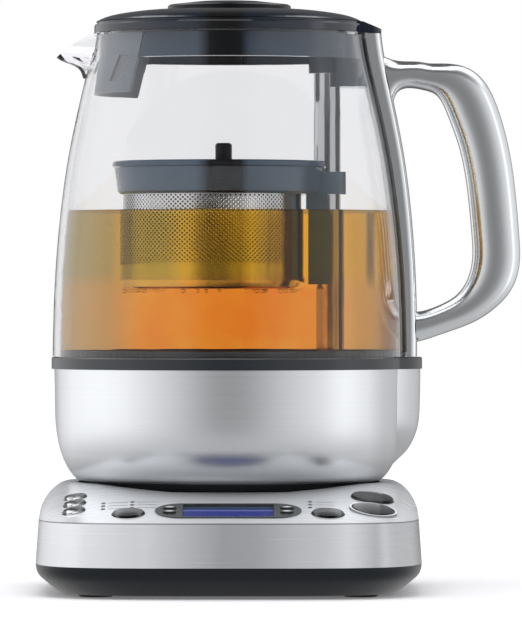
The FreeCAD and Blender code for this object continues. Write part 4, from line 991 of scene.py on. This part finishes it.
class PoweredBase(Assembly):
    """The base with its tray, cover, hub, electronics and feet."""

    cover = Metal(
        "cover_steel",
        (0.94, 0.96, 0.99),
        0.26,
        Grain.LEVEL,
        0.02,
        0.0000005,
        True,
        # A painted shade line runs along the crease.
        crease=0.033,
        metallic=0.5,
        # Painted reflection on the front skirt below the crease: darker in the middle, where the gap in front
        # is reflected, lighter towards the sides.
        painted_light_along_x=(
            (-0.086, 0.70), (-0.062, 0.76), (-0.036, 0.98), (-0.002, 0.53), (0.012, 0.56), (0.030, 0.78),
            (0.052, 0.84), (0.064, 0.46), (0.086, 0.54),
        ),
    )
    finishes = (
        (cover, ("base_cover",)),
        (Moulding("tray_plastic", (0.006, 0.009, 0.013), 0.30, 0.25), ("base_tray",)),
        (Moulding("carrier_plastic", (0.03, 0.03, 0.032), 0.45), ("panel_carrier",)),
        (Moulding("foot_rubber", (0.012, 0.012, 0.012), 0.75, 0.3, Grain.COARSE), ("foot_pads",)),
        (Moulding("gland_rubber", (0.014, 0.014, 0.015), 0.6, 0.35), ("cord_gland",)),
        (Metal("fastener_steel", (0.55, 0.55, 0.56), 0.35), ("base_screws",)),
        (Moulding("hub_plastic", (0.016, 0.017, 0.019), 0.35), ("connector_hub",)),
        (Metal("contact_brass", (0.80, 0.58, 0.27), 0.28, Grain.LEVEL), ("hub_contacts",)),
        (Board("board_green", (0.01, 0.13, 0.05), (0.10, 0.30, 0.10)), ("control_board", "power_board")),
    )


@dataclass
class ControlPanel:
    """Display, buttons, light guides and the plain marks beside them."""

    frame_finish: Moulding = Moulding("display_black", (0.045, 0.052, 0.050), 0.26, 0.5)
    window: Clear = Clear("window_clear", (0.97, 0.98, 1.0), 1.04, reflection=(0.5, 0.5, 0.5))
    # Each button carries painted shade and painted highlights in its colour: a dark middle and a bright rim or
    # glint.
    small_button: PaintedLightCap = PaintedLightCap(
        "small_button", (0.2, 0.3), ((0.0, 0.01), (0.5, 0.025), (0.9, 0.10), (1.15, 0.30), (1.35, 0.8)), 0.2
    )
    middle_button: PaintedLightCap = PaintedLightCap(
        "middle_button",
        (0.0, -0.8),
        ((0.0, 0.006), (0.45, 0.012), (0.85, 0.14), (1.35, 0.30), (1.55, 0.34), (1.66, 1.0)),
        0.2,
        ends=0.9,
    )
    hot_water: PaintedLightCap = PaintedLightCap(
        "rough_button", (0.0, -1.0), ((0.0, 0.10), (1.0, 0.09), (1.7, 0.10), (1.86, 0.6)), 0.4, contrast=0.75
    )
    brew: PaintedLightCap = PaintedLightCap(
        "large_button",
        (0.3, -1.0),
        ((0.0, 0.05), (0.6, 0.10), (1.2, 0.20), (1.7, 0.42), (1.9, 0.8)),
        contrast=0.3,
    )
    # The arrow keys carry a painted white glint in the middle.
    arrow: PaintedLightCap = PaintedLightCap(
        "arrow_button", (0.0, 0.0), ((0.0, 0.95), (0.35, 0.75), (0.75, 0.10), (1.0, 0.03)), 0.2, 0.0
    )
    ring: Glow = Glow("ring_white", (0.90, 0.91, 0.94), 0.18)
    light: Glow = Glow("light_white", (0.10, 0.10, 0.11), 0.02)
    ink: Moulding = Moulding("mark_ink", (0.20, 0.21, 0.22), 0.5, 0.3)
    light_columns: tuple[float, ...] = (-0.0548, -0.0421, 0.0358)
    first_row: float = -0.0826
    row_pitch: float = 0.0049
    rows: int = 3
    mark_start: float = 0.0022
    mark_length: float = 0.0084
    mark_width: float = 0.0006
    mark_clearance: float = 0.00004

    def dress(self) -> None:
        """Gives the panel's parts their finishes."""
        low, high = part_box("display_screen")
        dress(self.frame_finish, "display_frame")
        dress(self.window, "display_window")
        dress(Screen("screen_blue", low.y, high.y), "display_screen")
        cap(self.small_button, "keep_warm_button", "basket_cycle_button", "auto_start_button")
        cap(self.middle_button, "tea_type_button", "strength_button")
        cap(self.hot_water, "hot_water_button")
        cap(self.brew, "brew_button")
        for setting in ("temperature", "time"):
            cap(self.arrow, f"{setting}_up_button", f"{setting}_down_button")
        dress(self.ring, "brew_ring")
        dress(self.light, "indicator_lights")

    def build(self) -> Piece:
        """Models the plain marks: one short bar beside each light, laid on the panel.

        Returns:
            The piece with all bars.
        """
        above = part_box("base_cover")[1].z
        bars = []
        for column in self.light_columns:
            for row in range(self.rows):
                middle = column + self.mark_start + self.mark_length / 2
                place = (middle, self.first_row - row * self.row_pitch, above)
                size = (self.mark_length, self.mark_width, 1.0)
                bar = fresh(bpy.ops.mesh.primitive_plane_add, size, size=1.0, location=place)
                work(bar, bpy.ops.mesh.subdivide, number_cuts=3)
                bars.append(bar)
        marks = joined("panel_marks", bars)
        apply(
            marks,
            "SHRINKWRAP",
            target=nodes["base_cover"],
            wrap_method="PROJECT",
            use_project_z=True,
            use_negative_direction=True,
            use_positive_direction=False,
            offset=self.mark_clearance,
        )
        paint(marks, self.ink.material())
        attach(marks, "base")
        return marks


class Jug(Assembly):
    """Steel body, trim, glass, floor, post and mouth."""

    body = Metal(
        "body_steel",
        (0.70, 0.715, 0.74),
        0.33,
        Grain.LEVEL,
        0.02,
        0.0000005,
        stretch=0.5,
        # Painted shade on the lower belly: darker towards the foot, where the dark foot and panel are
        # reflected.
        upward=((0.049, 0.45), (0.051, 0.60), (0.0555, 0.80), (0.060, 1.0)),
        # Painted shade along X: darker at the left edge and on the right-hand pod.
        painted_light_along_x=((-0.079, 0.55), (-0.0755, 0.90), (-0.070, 1.0), (0.062, 1.0), (0.069, 0.80), (0.090, 0.78)),
    )
    glass = Clear(
        "jug_glass", (0.985, 0.985, 0.99), 1.47, waviness=0.00002, reflection=(0.55, 0.55, 0.56), density=17.0
    )
    # Its colour carries the painted gap reflection: dark in the middle of the front.
    mouth = Moulding(
        "mouth_plastic", (0.060, 0.080, 0.110), 0.15, 0.5, contrast=0.01, relief=0.0, painted_reflection_band=PAINTED_GAP_REFLECTION
    )
    finishes = (
        (body, ("jug_body",)),
        (Moulding("foot_plastic", (0.004, 0.0045, 0.006), 0.35, 0.3), ("jug_foot", "jug_connector")),
        (Moulding("trim_plastic", (0.012, 0.016, 0.022), 0.30, 0.5), ("trim_ring",)),
        (glass, ("glass_jug",)),
        (Moulding("seal_silicone", (0.035, 0.034, 0.033), 0.45), ("floor_gasket", "post_seal")),
        (Metal("plate_steel", (0.60, 0.60, 0.60), 0.25, Grain.POLISHED), ("heater_plate", "temperature_probe")),
        (Metal("element_steel", (0.40, 0.40, 0.40), 0.4), ("heating_element",)),
        (Metal("post_steel", (0.84, 0.85, 0.87), 0.07, Grain.UPRIGHT, 0.02, 0.0000004), ("guide_post",)),
        (mouth, ("mouth_ring",)),
        (Moulding("filter_plastic", (0.22, 0.24, 0.265), 0.35, 0.5), ("spout_filter",)),
        (Mesh("mesh_steel", (0.40, 0.41, 0.43), 0.0019, 0.45), ("filter_mesh",)),
    )


class BasketLift(Assembly):
    """Motor, lead screw, nut and magnets inside the post."""

    finishes = (
        (Metal("motor_metal", (0.30, 0.31, 0.33), 0.4), ("lift_motor",)),
        (Metal("screw_steel", (0.60, 0.60, 0.61), 0.25, Grain.LEVEL, 0.25, 0.0003), ("lead_screw",)),
        (Moulding("nut_plastic", (0.75, 0.74, 0.70), 0.4), ("magnet_carriage",)),
        (
            Metal("magnet_nickel", (0.65, 0.63, 0.58), 0.2, Grain.POLISHED),
            ("carriage_magnets", "basket_magnets"),
        ),
    )


class Lid(Assembly):
    """Lid cover, knob, skirt, seal and screw."""

    # Its colour carries the painted gap reflection: dark in the middle of the front.
    cover = Moulding(
        "lid_plastic", (0.006, 0.012, 0.024), 0.07, 0.5, contrast=0.01, relief=0.0, painted_reflection_band=PAINTED_GAP_REFLECTION
    )
    knob = Moulding("knob_plastic", (0.004, 0.005, 0.008), 0.25, 0.2, contrast=0.01, relief=0.0)
    finishes = (
        (cover, ("lid_cover", "lid_skirt")),
        (knob, ("lid_knob",)),
        (Moulding("lid_seal_silicone", (0.035, 0.034, 0.033), 0.45), ("lid_seal",)),
        (Metal("lid_screw_steel", (0.55, 0.55, 0.56), 0.35), ("lid_screw",)),
    )


@dataclass
class Basket:
    """The tea basket: collar, perforated wall, bottom, lid and knob."""

    # Its colour carries the painted gap reflection: dark in the middle of the front.
    collar: Moulding = Moulding(
        "basket_plastic", (0.072, 0.110, 0.165), 0.15, 0.5, contrast=0.01, relief=0.0, painted_reflection_band=PAINTED_GAP_REFLECTION
    )
    knob: Moulding = Moulding("basket_knob_plastic", (0.004, 0.004, 0.004), 0.3, 0.3)
    steel: Metal = Metal(
        "basket_steel",
        (0.95, 0.95, 0.95),
        0.18,
        Grain.POLISHED,
        0.03,
        # Painted reflections along X: bright bands towards both sides of the front, a dark middle where the gap
        # in front is reflected, darker at the right.
        painted_light_along_x=(
            (-0.055, 0.55), (-0.046, 0.80), (-0.040, 1.0), (-0.015, 0.95), (-0.009, 0.50), (0.005, 0.50),
            (0.010, 0.95), (0.022, 0.80), (0.031, 1.0), (0.037, 0.60), (0.042, 0.30),
        ),
    )
    hole_pitch: float = 0.00225
    hole_row: float = 0.00100
    hole_radius: float = 0.00050
    holed_angle: float = 294.0
    holed_from: float = 0.1468
    holed_rows: int = 32
    holes_per_turn: int = 112
    wall: float = 0.0005
    cover_wall: float = 0.00056
    overlap: float = 3.0
    round_cuts: int = 96
    plain_cuts: int = 20

    def dress(self) -> None:
        """Gives the basket's parts their finishes."""
        dress(self.collar, "basket_collar", "basket_lid")
        dress(self.knob, "basket_lid_knob")
        dress(self.steel, "basket_cup", "basket_base")

    def hole_cell(self) -> Piece:
        """Models one lozenge of the sheet with a round hole, flat, standing upright.

        Returns:
            The cell, centred at the origin.
        """
        size = (self.hole_pitch / 2, self.hole_row, 1.0)
        rim = fresh(bpy.ops.mesh.primitive_circle_add, size, vertices=4, radius=1.0, rotation=STANDING)
        work(rim, bpy.ops.mesh.subdivide, number_cuts=1)
        hole = fresh(
            bpy.ops.mesh.primitive_circle_add, vertices=8, radius=self.hole_radius, rotation=STANDING
        )
        cell = joined("hole_cell", [rim, hole])
        work(cell, bpy.ops.mesh.bridge_edge_loops)
        return cell

    def holed_sheet(self) -> Piece:
        """Models the flat perforated sheet from copies of the cell.

        Returns:
            The sheet, upright, centred on X = 0, its lowest row at the right height.
        """
        cell = self.hole_cell()
        columns = round(self.holes_per_turn * self.holed_angle / 360.0)
        array(cell, 2, (self.hole_pitch / 2, 0.0, self.hole_row))
        array(cell, self.holed_rows // 2, (0.0, 0.0, 2 * self.hole_row))
        array(cell, columns, (self.hole_pitch, 0.0, 0.0))
        work(cell, bpy.ops.mesh.remove_doubles, threshold=0.00001)
        cell.location = (-(columns - 1) * self.hole_pitch / 2 - self.hole_pitch / 4, 0.0, self.holed_from)
        settle(cell)
        return cell

    def plain_strip(self, length: float, low: float, high: float, cuts: int) -> Piece:
        """Models a flat plain strip of the wall.

        Args:
            length: Its length along X.
            low: Height of its lower edge.
            high: Height of its upper edge.
            cuts: How many cuts divide its length.

        Returns:
            The strip, upright, centred on X = 0.
        """
        strip = fresh(
            bpy.ops.mesh.primitive_plane_add,
            (length, high - low, 1.0),
            size=1.0,
            location=(0.0, 0.0, (low + high) / 2),
            rotation=STANDING,
        )
        array(strip, cuts, (length, 0.0, 0.0))
        strip.location = (-(cuts - 1) * length / 2 / cuts, 0.0, 0.0)
        strip.scale = (1.0 / cuts, 1.0, 1.0)
        settle(strip)
        work(strip, bpy.ops.mesh.remove_doubles, threshold=0.000005)
        return strip

    def bent(self, strip: Piece, angle: float, turn: float, middle: Vector, thickness: float) -> Piece:
        """Gives a flat strip its thickness and bends it round the cup.

        Args:
            strip: The upright strip along X.
            angle: How far round it reaches, in degrees.
            turn: Direction of its middle from the front, in degrees, towards +X.
            middle: A point on the cup's axis.
            thickness: The sheet's thickness.

        Returns:
            The bent strip.
        """
        apply(strip, "SOLIDIFY", thickness=thickness, offset=0.0)
        length = max(v.co.x for v in strip.data.vertices) - min(v.co.x for v in strip.data.vertices)
        apply(strip, "SIMPLE_DEFORM", deform_method="BEND", deform_axis="Z", angle=math.radians(angle))
        strip.location = (0.0, -length / math.radians(angle), 0.0)
        settle(strip)
        strip.rotation_euler = (0.0, 0.0, math.radians(turn))
        strip.location = (middle.x, middle.y, 0.0)
        settle(strip)
        return strip

    def build(self) -> Piece:
        """Models the perforated wall in place of the plain construction cup.

        Returns:
            The wall.
        """
        low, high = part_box("basket_cup")
        middle = (low + high) / 2
        radius = (high.x - low.x) / 2 - self.cover_wall / 2
        turn = math.tau * radius
        holed_top = self.holed_from + (self.holed_rows - 1) * self.hole_row
        plain_angle = 360.0 - self.holed_angle + self.overlap
        parts = [self.bent(self.holed_sheet(), self.holed_angle, -90.0, middle, self.wall)]
        for bottom, top, angle, direction, cuts in (
            (low.z, self.holed_from, 360.0, 0.0, self.round_cuts),
            (holed_top, high.z, 360.0, 0.0, self.round_cuts),
            (self.holed_from, holed_top, plain_angle, 90.0, self.plain_cuts),
        ):
            strip = self.plain_strip(turn * angle / 360.0, bottom, top, cuts)
            parts.append(self.bent(strip, angle, direction, middle, self.cover_wall))
        wall = joined("basket_wall", parts)
        smooth(wall, 40.0)
        # The inside of the wall gets painted shade.
        paint(wall, replace(self.steel, name="basket_wall_steel", painted_shade_axis=(middle.x, middle.y)).material())
        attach(wall, "basket")
        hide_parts("basket_cup")
        return wall


class Handle(Assembly):
    """Spine, pad, handle, insert and screws."""

    finishes = (
        (Metal("spine_steel", (0.70, 0.72, 0.74), 0.22, Grain.UPRIGHT, 0.02), ("spine",)),
        (Moulding("pad_rubber", (0.25, 0.26, 0.27), 0.4), ("spine_pad",)),
        (Metal("handle_metal", (0.68, 0.70, 0.72), 0.20, Grain.POLISHED, 0.015), ("handle",)),
        (Metal("insert_steel", (0.90, 0.91, 0.93), 0.12, Grain.POLISHED, 0.015), ("handle_insert",)),
        (Metal("handle_screw_steel", (0.55, 0.55, 0.56), 0.35), ("handle_screws",)),
    )


@dataclass
class Tea:
    """The brewed tea in the jug."""

    brew: Brew = Brew()
    level: float = 0.1700
    wall_gap: float = 0.00012
    floor_gap: float = 0.0002
    segments: int = 128
    heights: tuple[float, ...] = (0.1065, 0.1110, 0.1170, 0.1240, 0.1320, 0.1410, 0.1510, 0.1610)

    def glass_radius(self, height: float) -> float:
        """Measures the inside of the glass at a height.

        Args:
            height: The height above the table.

        Returns:
            The inner radius there.
        """
        hit, place, _, _ = nodes["glass_jug"].ray_cast((0.0, 0.0, height), (0.0, 1.0, 0.0))
        return place.y if hit else 0.0

    def build(self) -> Piece:
        """Models the tea: a disc on the floor, drawn up ring by ring along the glass.

        Returns:
            The tea.
        """
        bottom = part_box("heater_plate")[1].z + self.floor_gap
        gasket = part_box("floor_gasket")
        log.info("gasket from %.4f to %.4f, radius %.4f", gasket[0].z, gasket[1].z, gasket[1].y)
        rings = [(h, self.glass_radius(h) - self.wall_gap) for h in (*self.heights, self.level)]
        start = rings[0][1]
        tea = fresh(
            bpy.ops.mesh.primitive_circle_add,
            vertices=self.segments,
            radius=start,
            fill_type="NGON",
            location=(0.0, 0.0, bottom),
        )
        tea.name = "tea"
        tea.data.name = "tea"
        edit(tea)
        bpy.ops.mesh.select_all(action="SELECT")
        height, radius = bottom, start
        for next_height, next_radius in rings:
            bpy.ops.mesh.extrude_region_move(TRANSFORM_OT_translate={"value": (0.0, 0.0, next_height - height)})
            share = next_radius / radius
            bpy.ops.transform.resize(value=(share, share, 1.0), center_override=(0.0, 0.0, next_height))
            height, radius = next_height, next_radius
        bpy.ops.mesh.select_all(action="SELECT")
        bpy.ops.mesh.normals_make_consistent(inside=False)
        leave()
        smooth(tea, 30.0)
        paint(tea, self.brew.material())
        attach(tea, "jug")
        return tea


@dataclass
class Bubbles:
    """Small bubbles that cling to the underside of the basket, in the tea."""

    clear: Clear = Clear("bubble_clear", (1.0, 0.93, 0.70), 0.80, 0.0, 0.0, (1.0, 0.95, 0.80))
    count: int = 64
    smallest: float = 0.00035
    largest: float = 0.00105
    gap: float = 0.00006
    farthest: float = 0.97
    inward: float = 0.25
    seed: int = 7

    def build(self) -> Piece:
        """Models the bubbles: one small ball, copied at many places and sizes under the basket.

        Returns:
            The piece with all bubbles.
        """
        chance = random.Random(self.seed)
        low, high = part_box("basket_base")
        middle = (low + high) / 2
        reach = (high.y - low.y) / 2
        balls = []
        for _ in range(self.count):
            size = chance.uniform(self.smallest, self.largest)
            turn = chance.uniform(0.0, math.tau)
            away = reach * (self.farthest - self.inward * chance.random() ** 2)
            across, along = away * math.cos(turn), away * math.sin(turn)
            place = (middle.x + across, middle.y + along, low.z - size - self.gap)
            ball = fresh(bpy.ops.mesh.primitive_ico_sphere_add, subdivisions=2, radius=size, location=place)
            balls.append(ball)
        bubbles = joined("tea_bubbles", balls)
        smooth(bubbles, 60.0)
        paint(bubbles, self.clear.material())
        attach(bubbles, "basket")
        return bubbles


# ---------------------------------------------------------------- studio


@dataclass
class Studio:
    """Floor, sky, lamps and camera."""

    floor_size: float = 14.0
    floor_colour: Colour = (0.985, 0.98, 1.0)
    floor_lift: float = 0.14
    floor_lift_far: float = 0.34
    floor_lift_span: Pair = (0.3, 1.2)
    floor_mirrored: float = 0.66
    floor_fade: Pair = (0.15, 0.5)
    camera_place: Place = (0.0143, -2.8, 0.130)
    camera_aim: Place = (0.0143, 0.0, 0.12096)
    lens: float = 348.5
    sensor: float = 36.0
    clip: Pair = (0.1, 50.0)
    top_lamp: float = 9.0
    top_lamp_size: float = 1.6
    top_lamp_place: Place = (-0.2, -0.4, 1.9)
    top_lamp_aim: Place = (0.0, 0.0, 0.1)
    even: float = 0.82
    overhead: float = 1.25
    high_from: Pair = (0.50, 0.62)
    overhead_from: Pair = (0.97, 0.99)
    low_ring: Levels = (
        (-180, 0.12), (-168, 0.2), (-155, 0.9), (-130, 1.3), (-100, 1.45), (-76, 1.45), (-56, 1.1),
        (-28, 0.75), (-13, 0.36), (0, 0.27), (13, 0.38), (24, 0.62), (41, 0.87), (71, 1.1), (78, 1.75),
        (86, 1.75), (92, 1.15), (120, 1.0), (143, 0.85), (168, 0.2), (180, 0.12),
    )
    high_ring: Levels = (
        (-180, 0.1), (-168, 0.1), (-162, 2.6), (-120, 2.6), (-100, 1.15), (-56, 0.35), (-20, 0.2), (0, 0.12),
        (20, 0.2), (56, 0.35), (100, 1.15), (120, 2.6), (162, 2.6), (168, 0.1), (180, 0.1),
    )
    through_ring: Levels = (
        (-180, 0.97), (-155, 0.95), (-145, 0.55), (-124, 0.38), (-116, 0.75), (-98, 0.75), (-85, 0.6),
        (-30, 0.6), (-16, 0.04), (16, 0.04), (30, 0.55), (85, 0.55), (98, 0.75), (116, 0.75),
        (124, 0.38), (145, 0.55), (155, 0.95), (180, 0.97),
    )

    def floor(self) -> Piece:
        """Builds the pale floor, which keeps the shadow under the base.

        Returns:
            The floor.
        """
        floor = fresh(bpy.ops.mesh.primitive_plane_add, size=self.floor_size)
        floor.name = "floor"
        sheet = Sheet("floor_white")
        grain = sheet.noise(Grain.COARSE.value, 2.0)
        tone = sheet.ramp(grain, [(0.0, shaded(self.floor_colour, 0.995)), (1.0, self.floor_colour)])
        matte = sheet.surface(Base_Color=tone, Roughness=0.9, Specular_IOR_Level=0.1)
        path = sheet.add("ShaderNodeLightPath")
        seen = sheet.maths("MAXIMUM", path.outputs["Is Camera Ray"], path.outputs["Is Transmission Ray"])
        distance = sheet.vector("LENGTH", sheet.place).outputs["Value"]
        level = sheet.spread(distance, self.floor_lift, self.floor_lift_far, *self.floor_lift_span)
        total = sheet.add("ShaderNodeAddShader")
        sheet.join(matte.outputs[0], total.inputs[0])
        sheet.join(sheet.shine("Emission", sheet.maths("MULTIPLY", seen, level)).outputs[0], total.inputs[1])
        fade = sheet.blend(
            sheet.spread(distance, 0.0, 1.0, *self.floor_fade),
            sheet.shine("Emission", self.floor_mirrored),
            sheet.add("ShaderNodeBsdfTransparent"),
        )
        glossy = sheet.maths("SUBTRACT", path.outputs["Is Glossy Ray"], path.outputs["Is Transmission Ray"])
        mix = sheet.blend(sheet.maths("MAXIMUM", glossy, 0.0), total, fade)
        paint(floor, sheet.finish(mix))
        return floor

    def sky(self) -> bpy.types.World:
        """Builds the light from all round: white behind, soft sides, a gap where the camera stands.

        Returns:
            The world.
        """
        world = bpy.data.worlds.new("studio")
        bpy.context.scene.world = world
        world.use_nodes = True
        tree = Tree(world.node_tree)
        direction = tree.add("ShaderNodeTexCoord").outputs["Generated"]
        back = tree.maths("MULTIPLY", tree.part(direction, "Y"), -1.0)
        angle = tree.maths("ARCTAN2", tree.part(direction, "X"), back)
        share = tree.spread(angle, 0.0, 1.0, -math.pi, math.pi)
        rise = tree.part(direction, "Z")
        above = tree.spread(rise, 0.0, 1.0, *self.high_from)
        overhead = tree.spread(rise, 0.0, 1.0, *self.overhead_from)
        level = tree.mix(above, self.ring(tree, share, self.low_ring), self.ring(tree, share, self.high_ring))
        glossy = tree.shine("Background", tree.mix(overhead, level, self.overhead))
        through = tree.shine("Background", self.ring(tree, share, self.through_ring), (0.99, 0.99, 1.0))
        last = tree.shine("Background", self.even, (0.98, 0.98, 1.0))
        path = tree.add("ShaderNodeLightPath")
        for flag, light in (
            ("Is Glossy Ray", glossy),
            ("Is Transmission Ray", through),
            ("Is Camera Ray", tree.shine("Background", 1.0)),
        ):
            last = tree.blend(path.outputs[flag], last, light)
        output = tree.add("ShaderNodeOutputWorld")
        tree.join(last.outputs[0], output.inputs["Surface"])
        return world

    def ring(self, tree: Tree, share: Socket, levels: Levels) -> Socket:
        """Adds a level of light that changes with the direction round the object.

        Args:
            tree: The world's tree.
            share: The direction, from 0 to 1 over a full turn that starts behind the object.
            levels: Directions in degrees from the front towards +X, with the light's level there.

        Returns:
            The level.
        """
        top = max(level for _, level in levels)
        stops = [((angle + 180.0) / 360.0, (level / top,) * 3) for angle, level in levels]
        return tree.maths("MULTIPLY", tree.ramp(share, stops), top)

    def lamps(self) -> None:
        """Hangs one large soft lamp over the object."""
        data = bpy.data.lights.new("top_lamp", "AREA")
        data.shape = "DISK"
        data.size = self.top_lamp_size
        data.energy = self.top_lamp
        self.hang("top_lamp", data, self.top_lamp_place, self.top_lamp_aim)

    def hang(self, name: str, data: bpy.types.ID, place: Place, aim: Place) -> Piece:
        """Puts a lamp or a camera in the scene.

        Args:
            name: Its name.
            data: The lamp's or the camera's data.
            place: Where it stands.
            aim: The point it looks at.

        Returns:
            The new object.
        """
        new = bpy.data.objects.new(name, data)
        new.location = place
        new.rotation_euler = (Vector(aim) - Vector(place)).to_track_quat("-Z", "Y").to_euler()
        bpy.context.scene.collection.objects.link(new)
        return new

    def camera(self) -> Piece:
        """Sets up the camera.

        Returns:
            The camera.
        """
        data = bpy.data.cameras.new("camera")
        data.lens = self.lens
        data.sensor_width = self.sensor
        data.sensor_fit = "AUTO"
        data.clip_start, data.clip_end = self.clip
        camera = self.hang("camera", data, self.camera_place, self.camera_aim)
        bpy.context.scene.camera = camera
        return camera

    def build(self) -> None:
        """Builds the whole studio."""
        self.floor()
        self.sky()
        self.lamps()
        self.camera()
        bpy.context.scene.view_settings.view_transform = "Standard"


def main() -> None:
    """Dresses the parts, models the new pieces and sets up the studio."""
    logging.basicConfig(level=logging.INFO, format="%(name)s: %(message)s")
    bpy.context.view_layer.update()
    panel, basket = ControlPanel(), Basket()
    for group in (PoweredBase(), panel, Jug(), BasketLift(), Lid(), basket, Handle()):
        group.dress()
        log.info("dressed %s", type(group).__name__)
    for maker in (panel, basket, Tea(), Bubbles()):
        piece = maker.build()
        log.info("built %s with %d faces", piece.name, len(piece.data.polygons))
    Studio().build()


if __name__ == "__main__":
    main()
